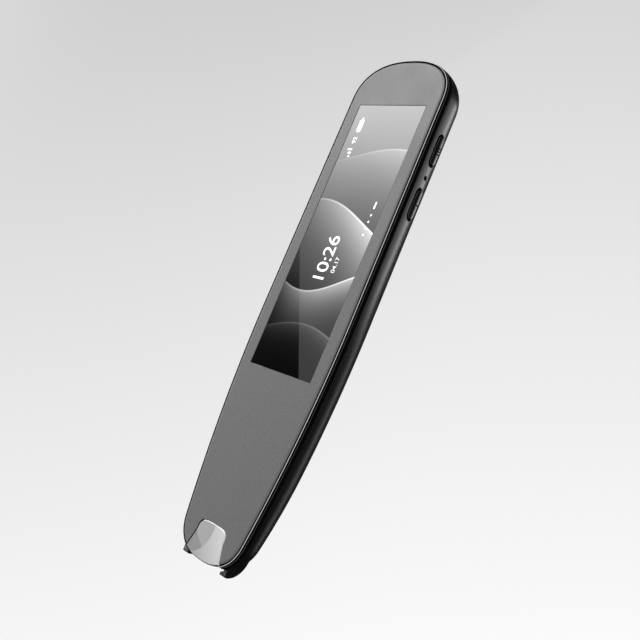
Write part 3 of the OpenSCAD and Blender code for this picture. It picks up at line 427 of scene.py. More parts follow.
foam_black = moulded("foam_black", (0.03, 0.03, 0.03), 0.9, grain=3000, depth=0.05, mottle=0.4)
finish_node("grille_mesh", woven("mesh_black", (0.012, 0.012, 0.012), 0.2))
finish_node("speaker_gasket", foam_black)
finish_node("speaker_basket", moulded("basket_black", (0.03, 0.03, 0.03), 0.5))
finish_node("speaker_cone", woven("cone_paper", (0.16, 0.16, 0.165), 0.35, 0.85))
finish_node("speaker_magnet", moulded("nickel", (0.65, 0.64, 0.62), 0.22, metal=1, grain=2500, depth=0.002))
lead_red = moulded("lead_red", (0.42, 0.02, 0.015), 0.5, grain=2500)
finish_node("speaker_leads", lead_red)

# ---- Side keys ----
# Two glossy black keys in slots of the side, each held by a flange behind the wall. A white
# plunger passes its push on to a switch on a small board, which also carries the microphone.
key_black = moulded("key_black", (0.003, 0.003, 0.0035), 0.18, grain=5000, depth=0.001, mottle=0.1)
RIDGE_PITCH = 0.75
ridges, given, done = node_tree("key_ridges", {"Count": 3, "Pitch": RIDGE_PITCH * 0.001, "Length": 0.0013,
                                              "Width": 0.00034}, ("Finish",))
line = node(ridges, "GeometryNodeMeshLine", {"Count": given["Count"]}, {"mode": "OFFSET"})
step = node(ridges, "ShaderNodeCombineXYZ", {"Y": given["Pitch"]})
ridges.links.new(step.outputs["Vector"], line.inputs["Offset"])
rod = node(ridges, "GeometryNodeMeshUVSphere", Segments=16, Rings=8, Radius=0.5)
size = node(ridges, "ShaderNodeCombineXYZ",
            {"X": given["Width"], "Y": given["Width"], "Z": given["Length"]})
set_on = node(ridges, "GeometryNodeInstanceOnPoints",
              {"Points": line.outputs["Mesh"], "Instance": rod.outputs["Mesh"],
               "Scale": size.outputs["Vector"]})
plain = node(ridges, "GeometryNodeRealizeInstances", {"Geometry": set_on.outputs["Instances"]})
painted = node(ridges, "GeometryNodeSetMaterial",
               {"Geometry": plain.outputs["Geometry"], "Material": given["Finish"]})
ridges.links.new(painted.outputs["Geometry"], done)


FLANGE_IN, FLANGE_OUT = 14.15, 14.75
KEY_PROUD, KEY_TRIM, KEY_ROUND = 0.35, -0.12, 0.3


def add_mesh(piece, other):
    """Adds another piece's mesh to a piece as it is, and drops the other."""
    b = bmesh.new()
    b.from_mesh(piece.data)
    b.from_mesh(other.data)
    b.to_mesh(piece.data)
    b.free()
    bpy.data.objects.remove(other)


def key_face_x(o):
    """The key's face, a little proud of the cover's side: level above, rounded off below."""
    off = o[:, 1] - KEY_Z
    return side_wall_x(o[:, 0], KEY_Z) + KEY_PROUD - 0.06 * off - 0.23 * np.maximum(0, 0.1 - off) ** 2


for name, y, body, count in (("upper_button", KEY_Y[0], "upper_key", 3),
                             ("lower_button", KEY_Y[1], "lower_key", 1)):
    flange, wall = stadium(y, 0.7, 0.35, 0), stadium(y, KEY_TRIM, KEY_TRIM, 0)
    rings = [np.insert(o, 0, x, axis=1)
             for x, o in ((FLANGE_IN, flange), (FLANGE_OUT, flange), (FLANGE_OUT, wall))]
    for a in np.radians(np.linspace(0, 90, 7)):
        o = stadium(y, KEY_TRIM, KEY_TRIM, KEY_ROUND * (1 - math.cos(a)))
        rings.append(np.c_[key_face_x(o) - KEY_ROUND * (1 - math.sin(a)), o])
    for inset in (0.45, 0.6, 0.75, 0.9, 1.02, 1.12):
        o = stadium(y, KEY_TRIM, KEY_TRIM, inset)
        rings.append(np.c_[key_face_x(o), o])
    key = lofted(name + "_cap", rings)
    smooth_faces(key, 35)
    # The face shines; its rounded border and the flange take the near-black, non-shiny finish as painted
    # shade round the key
    coat_with(key, key_black, painted_gap_shade)
    for f in key.data.polygons:
        f.material_index = 1 if f.normal.x < 0.8 else 0
    x_mark = float(side_wall_x(y, KEY_Z)) + 0.3
    marks = new_piece("marks", [(0, 0, 0)], [])
    grow(marks, ridges, {"Count": count, "Finish": key_black})
    first = Vector((x_mark, y - MIDDLE - (count - 1) * RIDGE_PITCH / 2, KEY_Z - 0.3)) * 0.001
    for v in marks.data.vertices:
        v.co += first
    add_mesh(key, marks)
    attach(key, body)
    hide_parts(name)

plunger_white = moulded("plunger_white", (0.72, 0.72, 0.7), 0.4, grain=2500)
switch_metal = moulded("switch_metal", (0.55, 0.55, 0.54), 0.32, metal=1, grain=2500)
board_green = moulded("board_green", (0.015, 0.11, 0.04), 0.35, grain=1800, depth=0.01,
                      mottle=0.25, coat=0.4)
for name in ("upper_key_plunger", "lower_key_plunger", "trigger_plunger"):
    finish_node(name, plunger_white)
finish_node("key_switches", switch_metal)
finish_node("microphone", switch_metal)
finish_node("key_board", board_green)
finish_node("microphone_seal", foam_black)

# ---- Battery and boards ----
# A foil battery is taped to the inside of the back. The main board lies over it with its chips
# under two tin cans, and flat amber ribbons run to the screen, the camera and the charging end.
chip_black = moulded("chip_black", (0.02, 0.02, 0.021), 0.55, grain=2200, depth=0.004)
ribbon_amber = moulded("ribbon_amber", (0.5, 0.2, 0.03), 0.3, grain=1500, depth=0.002, coat=0.3)
for name, material in (
        ("battery", moulded("battery_foil", (0.6, 0.6, 0.62), 0.3, metal=1, grain=900, depth=0.03)),
        ("battery_protection", board_green), ("battery_leads", lead_red),
        ("battery_tape", moulded("tape_grey", (0.25, 0.25, 0.25), 0.8, grain=2500)),
        ("main_board", board_green), ("main_chips", chip_black),
        ("shield_cans", moulded("can_metal", (0.6, 0.6, 0.58), 0.3, metal=1, grain=1600)),
        ("board_connectors", moulded("connector_ivory", (0.65, 0.6, 0.48), 0.45, grain=2500)),
        ("display_flex", ribbon_amber), ("tail_flex", ribbon_amber), ("camera_flex", ribbon_amber)):
    finish_node(name, material)

# ---- Charging end ----
# The steel shell of the charging socket sits behind its mouth at the upper end, on a small board
# of its own, under a strip antenna with a thin cable.
steel = moulded("steel", (0.62, 0.62, 0.61), 0.24, metal=1, grain=2500, depth=0.002)
for name, material in (
        ("usb_port", steel), ("usb_board", board_green),
        ("antenna", moulded("antenna_copper", (0.72, 0.4, 0.2), 0.35, metal=1, grain=1800)),
        ("antenna_cable", moulded("cable_black", (0.02, 0.02, 0.02), 0.5, grain=2500))):
    finish_node(name, material)

# ---- Scan optics ----
# A dark chamber behind the scan opening holds a slanted dark window. Behind the window a small
# camera and two lamps look down at the line of print.
for name, material in (
        ("scan_chamber", moulded("chamber_black", (0.01, 0.01, 0.01), 0.7, grain=3000, depth=0.02)),
        ("scan_window", moulded("window_dark", (0.03, 0.03, 0.032), 0.5, depth=0.03, mottle=0.5)),
        ("camera_module", chip_black),
        ("camera_lens", moulded("lens_black", (0.02, 0.02, 0.03), 0.12, grain=2500, depth=0.001, coat=1)),
        ("camera_board", board_green),
        ("light_board", moulded("board_white", (0.75, 0.75, 0.75), 0.5, grain=2500)),
        ("scan_leds", moulded("led_cream", (0.85, 0.78, 0.45), 0.3, grain=2500, coat=0.5))):
    finish_node(name, material)

# ---- Nose trigger ----
# Two skids, one moulding with their arms and cross beam, stand out of the nose. They slide on two
# steel pins against coil springs, and a plunger on the beam meets the start switch.
SKID_IN, SKID_OUT, SKID_FLAT, SKID_LOW, SKID_ROOT = 7.0, 9.2, 1.1, 4.15, -42.7
TOE_TOP, TOE_ROUND = 10.5, 0.4
PIN_X, PIN_Z = 7.8, 8.1
skid_black = moulded("skid_black", (0.005, 0.005, 0.0055), 0.36, grain=5000, depth=0.003,
                     specular=0.2, edge=0.15)
# The toes' grey finish is a painted highlight on their flat tops
toe_top_painted_highlight = moulded("toe_top_painted_highlight", (0.17, 0.17, 0.17), 0.5, grain=5000, depth=0.003, specular=0.2)


def skid_side(x, up):
    """A skid's side view: a round toe past the tip, and a belly that curves back to its root."""
    toe = TIP - 0.6
    bend, run = TOE_TOP - TOE_ROUND, SKID_ROOT - 0.8 - toe
    points = [(x, SKID_ROOT, TOE_TOP)]
    for a in np.radians(np.linspace(90, 180, 7)):
        points.append((x, toe + TOE_ROUND + TOE_ROUND * math.cos(a), bend + TOE_ROUND * math.sin(a)))
    for a in np.radians(np.linspace(3, 90, 30)):
        points.append((x, toe + run * (1 - math.cos(a)), bend + (SKID_LOW + up - bend) * math.sin(a)))
    return points + [(x, SKID_ROOT, SKID_LOW + up)]


def skid(side):
    """One skid, cut to its slot's plan, with a top that follows the panel's outline at the tip."""
    rings = [skid_side(SKID_IN, 0), skid_side(SKID_IN + SKID_FLAT, 0), skid_side(SKID_OUT, 1.0)]
    made = lofted("skid", [np.array(r) * [side, 1, 1] for r in rings])
    plan = side_box("plan", side, (6.9, 9.3), (-53.7, -43.8), (-1, 9.6))
    front = side_box("front", side, (6.9, 9.3), (-53.7, SKID_ROOT), (9.5, 11.9))
    carve(front, [stacked("end", [flat_ring(-RIM - 0.55, 9), flat_ring(-RIM - 0.55, 13)])])
    carve(plan, [bar("root", circle(side * SKID_X, -43.8, 1.1, 48), 2, -0.9, 9.6), front], "UNION")
    carve(made, [plan], "INTERSECT")
    return made


trigger = skid(1)
arms = [skid(-1), box("beam", (-8.95, -27.5, 6.6), (8.95, -25.5, 9.6))]
for s in (-1, 1):
    arms += [side_box("arm", s, (7.0, 8.6), (-44.9, -27.49), (6.6, 9.6)),
             side_box("lug", s, (6.65, 8.95), (-30.0, -27.48), (6.61, 9.59))]
carve(trigger, arms, "UNION")
carve(trigger, [bar("pin_bore", circle(s * PIN_X, PIN_Z, 0.65, 32), 1, -32.3, -24.5) for s in (-1, 1)])
trigger.name = "nose_trigger"
round_off = trigger.modifiers.new("round_off", "BEVEL")
round_off.width, round_off.segments, round_off.limit_method = 0.00016, 2, "ANGLE"
round_off.angle_limit = math.radians(40)
settle(trigger)
smooth_faces(trigger)
coat_with(trigger, skid_black, toe_top_painted_highlight)
# The flat tops of the toes are a grey painted highlight inside a narrow dark border
b = bmesh.new()
b.from_mesh(trigger.data)
pads = [f for f in b.faces if f.normal.z > 0.98 and f.calc_center_median().z > 0.0102]
bmesh.ops.inset_region(b, faces=pads, thickness=0.00013, use_even_offset=True)
for f in pads:
    f.material_index = 1
b.to_mesh(trigger.data)
b.free()
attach(trigger, "trigger")
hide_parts("trigger_bracket")

coil, given, done = node_tree("coil_spring", {"Turns": 5, "Radius": 0.001, "Wire": 0.00015,
                                             "Length": 0.00314, "Apart": PIN_X * 0.001}, ("Finish",))
spiral = node(coil, "GeometryNodeCurveSpiral",
              {"Rotations": given["Turns"], "Start Radius": given["Radius"],
               "End Radius": given["Radius"], "Height": given["Length"]}, Resolution=20)
wire = node(coil, "GeometryNodeCurvePrimitiveCircle", {"Radius": given["Wire"]}, Resolution=8)
swept = node(coil, "GeometryNodeCurveToMesh", {"Curve": spiral.outputs["Curve"],
                                              "Profile Curve": wire.outputs["Curve"]})
swept.inputs["Fill Caps"].default_value = True
laid = node(coil, "GeometryNodeTransform", {"Geometry": swept.outputs["Mesh"]},
            Rotation=(-math.pi / 2, 0, 0))
pair = node(coil, "GeometryNodeMeshLine", {}, {"mode": "END_POINTS"}, Count=2)
for key, sign in (("Start Location", 1), ("Offset", -1)):
    place = node(coil, "ShaderNodeMath", {0: given["Apart"]}, {"operation": "MULTIPLY"})
    place.inputs[1].default_value = sign
    spot = node(coil, "ShaderNodeCombineXYZ", {"X": place.outputs[0]}, Y=0.0, Z=0.0)
    coil.links.new(spot.outputs["Vector"], pair.inputs[key])
two = node(coil, "GeometryNodeInstanceOnPoints",
           {"Points": pair.outputs["Mesh"], "Instance": laid.outputs["Geometry"]})
plain = node(coil, "GeometryNodeRealizeInstances", {"Geometry": two.outputs["Instances"]})
painted = node(coil, "GeometryNodeSetMaterial",
               {"Geometry": plain.outputs["Geometry"], "Material": given["Finish"]})
coil.links.new(painted.outputs["Geometry"], done)
springs = new_piece("coil_springs", [(0, 0, 0)], [])
grow(springs, coil, {"Finish": steel})
for v in springs.data.vertices:
    v.co += Vector((0, -25.32 - MIDDLE, PIN_Z)) * 0.001
smooth_faces(springs, 60)
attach(springs, "body")
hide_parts("trigger_springs")
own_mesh(springs)
finish_node("guide_pins", steel)
finish_node("trigger_switch", chip_black)

# ---- Frame and screws ----
# The dark frame that everything is screwed to. Its rim stands round the panel, and the polished
# chamfer on the rim is the bright line along the pen's edge.
finish_node("frame_screws", steel)
finish_node("board_screws", steel)
# This near-black, non-shiny finish is the frame's own colour, and on the panel's outer edge it is painted
# shade
frame_dark = moulded("frame_dark", (0.004, 0.004, 0.0045), 0.5, grain=3500, depth=0.001, specular=0.0)
bright_cut = moulded("bright_cut", (0.6, 0.6, 0.61), 0.22, metal=1, grain=3500, depth=0.001)
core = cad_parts["mid_frame"]
inside = bpy.data.objects.new("frame_core", core.data.copy())
inside.data.materials.clear()
bpy.context.scene.collection.objects.link(inside)
b = bmesh.new()
b.from_mesh(inside.data)
bmesh.ops.remove_doubles(b, verts=b.verts, dist=1e-6)
b.to_mesh(inside.data)
b.free()
carve(inside, [stacked("middle", [flat_ring(0.25, 4), flat_ring(0.25, 11)])], "INTERSECT")
LEDGE, RIM_TOP = 10.65, 11.72       # the panel's ledge, and the top of the rim round it
rim_profile = ((0.4, SEAM), (-RIM, SEAM), (-RIM, 11.0), (-RIM + 0.06, 11.06), (-RIM + 0.16, 11.06),
               (-RIM + 0.16, 11.6), (-RIM + 0.28, RIM_TOP), (-0.125, RIM_TOP), (-0.125, LEDGE),
               (0.3, LEDGE), (0.4, SEAM))
rings = [flat_ring(*p, end_steps=60, side_steps=80) for p in rim_profile]
n = len(rings[0])
rim = new_piece("frame_rim", np.concatenate(rings), ring_faces(n, len(rings)))
end_gap = box("end_gap", (-7.65, TIP - 2, 10.64), (7.65, TIP + 1, 13))
light_way = bar("light_way", [(-8.29, -51.7), (8.29, -51.7), (5.3, -42.9), (5.3, -40), (-5.3, -40),
                              (-5.3, -42.9)], 2, SEAM - 1, 13)
carve(rim, [end_gap, light_way])
add_mesh(rim, inside)
smooth_faces(rim, 24)
satin_cut = moulded("satin_cut", (0.09, 0.09, 0.092), 0.35, metal=1, grain=3500, depth=0.001)
coat_with(rim, frame_dark, bright_cut, satin_cut)
# The rim's top chamfer is polished, the small one below it satin, and the rest dark
for f in rim.data.polygons:
    z = f.center.z * 1000
    tilted = 0.3 < f.normal.z < 0.95
    f.material_index = 1 if tilted and z > 11.6 else 2 if tilted and 11.0 < z < 11.06 else 0
rim.name = "middle_frame"
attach(rim, "body")
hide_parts("mid_frame")

# ---- Display ----
# The display module lies in its pocket with a touch film on top. The black glass over it shows
# a plain picture of soft dunes, a clock, a battery mark and dots.
finish_node("display_module", moulded("display_metal", (0.5, 0.5, 0.52), 0.35, metal=1, grain=1800))
finish_node("touch_sensor", moulded("sensor_film", (0.03, 0.04, 0.04), 0.12, grain=2500,
                                    depth=0.001, coat=0.6))
finish_node("panel_tape", foam_black)
HALF_WIDE, HALF_LONG = 12.15, 36.7    # half the panel's window each way; it starts where lengths do
BED, GLASS_TOP = 10.8, 11.82          # the tape that glass and panel lie on, and the glass's top

picture, t, p, where = new_finish("screen_picture")
# Across the screen the picture runs from -1 to 1, and along it from 0 at the lower edge to 1
place = node(t, "ShaderNodeMapping", {"Vector": where})
place.inputs["Location"].default_value = (0, MIDDLE / (2 * HALF_LONG), 0)
place.inputs["Scale"].default_value = (1000 / HALF_WIDE, 1000 / (2 * HALF_LONG), 1)
axes = node(t, "ShaderNodeSeparateXYZ", {0: place.outputs["Vector"]})
across, along = axes.outputs["X"], axes.outputs["Y"]


def sums(operation, a, b=None, c=None):
    """One step of arithmetic in the node tree at hand."""
    made = t.nodes.new("ShaderNodeMath")
    made.operation = operation
    for socket, value in zip(made.inputs, (a, b, c)):
        if isinstance(value, (int, float)):
            socket.default_value = value
        elif value is not None:
            t.links.new(value, socket)
    return made.outputs[0]


def span(value, low, high, to_low=0.0, to_high=1.0, kind="SMOOTHSTEP"):
    """Turns one range of a value into another, level outside it."""
    made = node(t, "ShaderNodeMapRange", {"Value": value}, {"interpolation_type": kind})
    for key, limit in (("From Min", low), ("From Max", high), ("To Min", to_low), ("To Max", to_high)):
        made.inputs[key].default_value = limit
    return made.outputs["Result"]


def blend(how, links, **values):
    """One step of mixing colours in the node tree at hand."""
    made = node(t, "ShaderNodeMix", links, {"data_type": "RGBA", "blend_type": how}, **values)
    return made.outputs["Result"]


sky = node(t, "ShaderNodeValToRGB", {"Fac": along})
stops = ((0.0, 0.0), (0.3, 0.005), (0.45, 0.06), (0.62, 0.18), (0.8, 0.36), (1.0, 0.53))
ramp = sky.color_ramp
while len(ramp.elements) < len(stops):
    ramp.elements.new(0.5)
for e, (at, grey) in zip(ramp.elements, stops):
    e.position, e.color = at, (grey, grey, grey * 1.01, 1)
light = sky.outputs["Color"]
# Each dune: how high its crest lies, its swing, turn and phase, how far its lit slope reaches,
# how bright the slope is at the crest, and how dark the sky behind it turns
for crest, swing, turn, phase, reach, glow, dim in (
        (0.80, 0.035, 1.3, 0.6, 0.07, 0.22, 0.9), (0.56, 0.07, 1.1, 2.5, 0.10, 0.75, 0.6),
        (0.35, 0.06, 1.4, 5.3, 0.055, 0.6, 0.04), (0.13, 0.05, 1.2, 1.4, 0.03, 0.1, 0.02)):
    wave = sums("MULTIPLY", sums("SINE", sums("MULTIPLY_ADD", across, turn, phase)), swing)
    under = sums("SUBTRACT", sums("ADD", wave, crest), along)
    slope = sums("POWER", 2.718, sums("DIVIDE", sums("MAXIMUM", under, 0.0), -reach))
    line = sums("MAXIMUM", sums("MULTIPLY_ADD", sums("ABSOLUTE", under), -170.0, 1.0), 0.0)
    lit = sums("MULTIPLY", sums("MULTIPLY_ADD", slope, glow, sums("MULTIPLY", line, glow)),
               sums("MULTIPLY_ADD", across, 0.4, 0.6))
    base = blend("MULTIPLY", {"A": sky.outputs["Color"]}, Factor=1.0, B=(dim, dim, dim, 1))
    ground = blend("ADD", {"A": base, "B": lit}, Factor=1.0)
    light = blend("MIX", {"Factor": span(under, -0.004, 0.0), "A": light, "B": ground})
# A painted reflection on the glass: a lighter wedge lies over the picture to the right of a slanting line
painted_reflection_side = sums("ADD", sums("MULTIPLY_ADD", across, 0.27, 0.27), sums("ADD", along, -0.44))
seen = blend("ADD", {"A": light, "B": span(painted_reflection_side, -0.002, 0.004, 0.0, 0.042)}, Factor=1.0)
p.inputs["Base Color"].default_value = (0.001, 0.001, 0.001, 1)
p.inputs["Roughness"].default_value = 0.1
p.inputs["Specular IOR Level"].default_value = 0.02
p.inputs["Emission Strength"].default_value = 1.0
t.links.new(seen, p.inputs["Emission Color"])

glass_edge = moulded("glass_edge", (0.01, 0.01, 0.011), 0.1, grain=2500, depth=0.001)
levels = ((0.05, BED), (0.05, GLASS_TOP - 0.06), (0.07, GLASS_TOP - 0.02), (0.11, GLASS_TOP))
glass = lofted("screen_glass", [np.c_[round_box(0, HALF_LONG, HALF_WIDE - i, HALF_LONG - i, 0.15, 3),
                                      np.full(16, z)] for i, z in levels])
smooth_faces(glass, 50)
coat_with(glass, glass_edge, picture)
for f in glass.data.polygons:
    f.material_index = 1 if f.normal.z > 0.99 and len(f.vertices) > 8 else 0
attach(glass, "body")
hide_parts("screen_lens")

sign_white, t, p, where = new_finish("sign_white")
pixels = node(t, "ShaderNodeTexNoise", {"Vector": where}, Scale=9000.0)
tone = blend("MIX", {"Factor": pixels.outputs["Fac"]}, A=(0.9, 0.9, 0.9, 1), B=(1, 1, 1, 1))
t.links.new(tone, p.inputs["Emission Color"])
t.links.new(tone, p.inputs["Base Color"])
p.inputs["Emission Strength"].default_value = 0.75
p.inputs["Roughness"].default_value = 0.2


def digits(text, size, weight, u, v):
    """Numbers that read along the pen: u along it, v towards its left side, in millimetres."""
    curve = bpy.data.curves.new("digits", "FONT")
    curve.body, curve.size, curve.offset, curve.align_x = text, size, weight, "CENTER"
    curve.resolution_u = 6
    holder = bpy.data.objects.new("digits", curve)
    bpy.context.scene.collection.objects.link(holder)
    mesh = bpy.data.meshes.new_from_object(holder.evaluated_get(bpy.context.evaluated_depsgraph_get()))
    bpy.data.objects.remove(holder)
    points = np.array([q.co for q in mesh.vertices])
    faces = [tuple(f.vertices) for f in mesh.polygons]
    return np.c_[-(points[:, 1] + v), points[:, 0] + u, np.zeros(len(points))], faces


def patch(outline):
    """A flat mark on the screen, from its outline."""
    o = np.asarray(outline)
    return np.c_[o, np.zeros(len(o))], [tuple(range(len(o)))]


# A clock, a date and a charge in plain numbers, a battery with its cap, three bars, four dots, a dash
marks = [digits("10:26", 5.9, 0.03, 30.5, -1.6), digits("04.17", 1.9, 0.01, 29.4, -4.4),
         digits("92", 2.0, 0.01, 63.2, 7.9),
         patch(round_box(-8.7, 67.4, 0.8, 1.9, 0.79)), patch(round_box(-8.7, 69.55, 0.32, 0.14, 0.1, 2))]
marks += [patch(round_box(-8.0 - high / 2, 58.6 + k, high / 2, 0.27, 0.15, 3))
          for k, high in enumerate((0.7, 1.2, 1.7))]
marks += [patch(circle(8.9, 38.2 + k * 1.75, 0.3, 20)) for k in range(4)]
marks += [patch(round_box(8.9, 46.1, 0.28, 1.0, 0.27, 4))]
points, faces, start = [], [], 0
for q, f in marks:
    q[:, 2] = GLASS_TOP + 0.008
    points.append(q)
    faces += [tuple(i + start for i in face) for face in f]
    start += len(q)
signs = new_piece("screen_signs", np.concatenate(points), faces)
b = bmesh.new()
b.from_mesh(signs.data)
for f in b.faces:
    if f.normal.z < 0:
        f.normal_flip()
b.to_mesh(signs.data)
b.free()
coat_with(signs, sign_white)
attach(signs, "body")

# ---- Front panel ----
# A grey panel with a fine bead-blasted finish and a rounded edge. The screen's window is cut out
# of it, and at the tip a clear moulded window is let in, glued along its edge.
panel_grey = moulded("panel_grey", (0.172, 0.172, 0.172), 0.5, grain=3000, depth=0.011,
                     mottle=0.34, edge=0.05)
PANEL_TOP, EDGE_DROP = 11.9, 0.4
TAB_HALF, TAB_LONG, TAB_ROUND, TAB_POWER = 5.75, 9.3, 3.4, 2 / 3.7


def panel_rings(inset, reach):
    """A plate of the pen's outline, moved in: straight sides, then an edge rounded over a reach."""
    rings = [flat_ring(inset, BED)]
    for a in np.radians(np.linspace(0, 90, 10)):
        level = PANEL_TOP - EDGE_DROP + EDGE_DROP * math.sin(a)
        rings.append(flat_ring(inset + reach * (1 - math.cos(a)), level))
    return rings


def window_outline(g):
    """The clear window's outline, grown by g, from past the tip round its upper corners."""
    shoulder = TIP + TAB_LONG - TAB_ROUND
    t = np.radians(np.linspace(0, 90, 17))
    right = np.r_[[(TAB_HALF + 0.32 * (shoulder - TIP + 3) + g, TIP - 3)],
                  np.c_[(TAB_HALF + g) * np.cos(t) ** TAB_POWER,
                        shoulder + (TAB_ROUND + g) * np.sin(t) ** TAB_POWER]]
    right[-1, 0] = 0
    return np.r_[right, right[-2::-1] * [-1, 1]]


def cut_out(name, outline, levels):
    """A tool whose outline grows or shrinks from level to level."""
    return lofted(name, [np.c_[outline(g), np.full(len(outline(g)), z)] for g, z in levels])


def screen_outline(g):
    return round_box(0, HALF_LONG, HALF_WIDE + g, HALF_LONG + g, 0.1, 2)


panel = stacked("front_panel_plate", panel_rings(0.2, 0.9))
carve(panel, [cut_out("screen", screen_outline, ((0, 9.8), (0, 11.84), (0.07, 11.91), (0.07, 12.9))),
              cut_out("tab", window_outline, ((0.05, 9.8), (0.05, 12.9)))])
smooth_faces(panel)
# The steep sides round the outside, with the steeper part of the rounded edge, take the near-black finish
# as painted shade; those of the screen's window stay grey
coat_with(panel, panel_grey, frame_dark)
for f in panel.data.polygons:
    x, y, z = f.center * 1000
    in_window = abs(x) < HALF_WIDE + 0.35 and abs(y + MIDDLE - HALF_LONG) < HALF_LONG + 0.4
    f.material_index = 1 if abs(f.normal.z) < 0.8 and not in_window else 0
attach(panel, "body")
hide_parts("front_panel")

clear = moulded("clear_window", (0.6, 0.605, 0.61), 0.3, grain=1500, depth=0.001, mottle=0.04, coat=0.5)
t = clear.node_tree
p = t.nodes["Principled BSDF"]
p.inputs["Transmission Weight"].default_value = 0.12
p.inputs["IOR"].default_value = 1.45
# Painted reflections: the base colour holds three tones with a slanted and a curved border. The outermost
# is a painted gradient that darkens towards the tip as painted shade
where = t.nodes.new("ShaderNodeTexCoord").outputs["Object"]
reach = node(t, "ShaderNodeVectorMath", {0: where}, {"operation": "DISTANCE"})
reach.inputs[1].default_value = (-0.0069, -0.0594, 0.0119)
axes = node(t, "ShaderNodeSeparateXYZ", {0: where})
slant = sums("MULTIPLY_ADD", axes.outputs["X"], 0.612, axes.outputs["Y"])
inner_reflection_tone = blend("MIX", {"Factor": span(slant, -0.0651, -0.0649, kind="LINEAR")},
                   A=(0.40, 0.40, 0.405, 1), B=(0.58, 0.58, 0.585, 1))
outer_reflection_tone = span(sums("MULTIPLY_ADD", axes.outputs["Y"], 0.8, axes.outputs["X"]),
                  -0.0572, -0.0446, 0.58, 0.97, "LINEAR")
outside = span(reach.outputs["Value"], 0.00748, 0.00768, kind="LINEAR")
t.links.new(blend("MIX", {"Factor": outside, "A": inner_reflection_tone, "B": outer_reflection_tone}), p.inputs["Base Color"])
tab = stacked("tip_window", panel_rings(0, 0.5))
carve(tab, [cut_out("tab", window_outline, ((-0.05, 9.8), (-0.05, 11.68), (-0.38, 11.91), (-0.38, 12.9)))],
      "INTERSECT")
smooth_faces(tab)
# A white finish that glows a little: a painted highlight on the window's chamfers
clear_edge_painted_highlight = moulded("clear_edge_painted_highlight", (0.97, 0.97, 0.97), 0.3, grain=1500, depth=0.001, mottle=0.02, coat=0.3)
p = clear_edge_painted_highlight.node_tree.nodes["Principled BSDF"]
p.inputs["Emission Color"].default_value = (1, 1, 1, 1)
p.inputs["Emission Strength"].default_value = 0.12
# A dark finish: painted shade on the window's steep sides, its tip edge and its left chamfer
clear_side_painted_shade = moulded("clear_side_painted_shade", (0.06, 0.06, 0.06), 0.4, grain=1500, depth=0.001, specular=0.2)
# Painted shade and highlight: its steep sides, the edge at the tip and the left chamfer are dark as painted
# shade, the other chamfers white and a little glowing as a painted highlight
coat_with(tab, clear, clear_edge_painted_highlight, clear_side_painted_shade)
for f in tab.data.polygons:
    x, y, z = f.normal
    chamfer = 0.5 < z < 0.9 and f.center.z > 0.0117 and y > -0.3
    dark = abs(z) < 0.5 or (abs(z) < 0.95 and y < -0.3) or (chamfer and x < -0.2)
    f.material_index = 2 if dark else 1 if chamfer else 0
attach(tab, "body")
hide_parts("viewing_window")

# ---- Studio ----
# A wide pale floor some way below the pen, seven soft lamps and an even sky. A dark card that
# only shiny surfaces see keeps the black parts black.
def sheet(name, x, y, z):
    """A flat sheet at one level, between two values each way."""
    return new_piece(name, [(x[0], y[0], z), (x[1], y[0], z), (x[1], y[1], z), (x[0], y[1], z)],
                     [(0, 1, 2, 3)])


floor = sheet("floor", (-4000, 4000), (-4000, 4000), -250)
if floor.data.polygons[0].normal.z < 0:
    floor.data.flip_normals()
paper, t, p, where = new_finish("floor_paper")
# Its tone falls off evenly from the near end of the main view to the far end, and is level beyond.
# A place's depth in that view is the ratio of its distances along two level directions
away = node(t, "ShaderNodeVectorMath", {0: where}, {"operation": "DOT_PRODUCT"})
away.inputs[1].default_value = (-0.174, 0.916, 0)
aside = node(t, "ShaderNodeVectorMath", {0: where}, {"operation": "DOT_PRODUCT"})
aside.inputs[1].default_value = (-0.754, 0.112, 0)
ahead = sums("ADD", aside.outputs["Value"], 0.407)
depth = sums("DIVIDE", sums("ADD", away.outputs["Value"], -0.091), ahead)
near = span(depth, -0.34, 0.34, 0.985, 0.68, "LINEAR")
reach = node(t, "ShaderNodeVectorMath", {0: where}, {"operation": "LENGTH"})
far = span(reach.outputs["Value"], 0.8, 2.0)
outside = span(sums("ABSOLUTE", depth), 0.36, 0.9)
behind = span(ahead, 0.2, 0.4, 1.0, 0.0)
even = sums("MAXIMUM", sums("MAXIMUM", far, outside), behind)
tone = blend("MIX", {"Factor": even, "A": near}, B=(0.86, 0.86, 0.86, 1))
t.links.new(tone, p.inputs["Base Color"])
p.inputs["Roughness"].default_value = 0.9
p.inputs["Specular IOR Level"].default_value = 0.1
glow = node(t, "ShaderNodeEmission", {"Color": tone}, Strength=1.04)
soft = node(t, "ShaderNodeMixShader", {1: p.outputs["BSDF"], 2: glow.outputs[0]}, Fac=0.8)


def background_rays():
    """1 for the rays that should see the backdrop: straight, mirrored or through glass."""
    ways = t.nodes.new("ShaderNodeLightPath").outputs
    straight_or_mirrored = sums("MAXIMUM", ways["Is Camera Ray"], ways["Is Glossy Ray"])
    return sums("MAXIMUM", straight_or_mirrored, ways["Is Transmission Ray"])


shown = node(t, "ShaderNodeMixShader", {"Fac": background_rays(), 1: p.outputs["BSDF"],
                                       2: soft.outputs[0]})
# Seen from below, the floor is clear
below = node(t, "ShaderNodeMixShader", {"Fac": t.nodes.new("ShaderNodeNewGeometry").outputs["Backfacing"],
                                       1: shown.outputs[0],
                                       2: t.nodes.new("ShaderNodeBsdfTransparent").outputs["BSDF"]})
t.links.new(below.outputs["Shader"], t.nodes["Material Output"].inputs["Surface"])
coat_with(floor, paper)


def lamp(name, at, aim, size, power):
    """A soft lamp aimed at a place, in metres and watts. Its first size runs along the pen."""
    light = bpy.data.lights.new(name, "AREA")
    light.shape, light.size, light.size_y, light.energy = "RECTANGLE", size[0], size[1], power
    holder = bpy.data.objects.new(name, light)
    holder.location = at
    holder.rotation_euler = (Vector(aim) - Vector(at)).to_track_quat("-Z", "Y").to_euler()
    holder.visible_camera = False
    bpy.context.scene.collection.objects.link(holder)


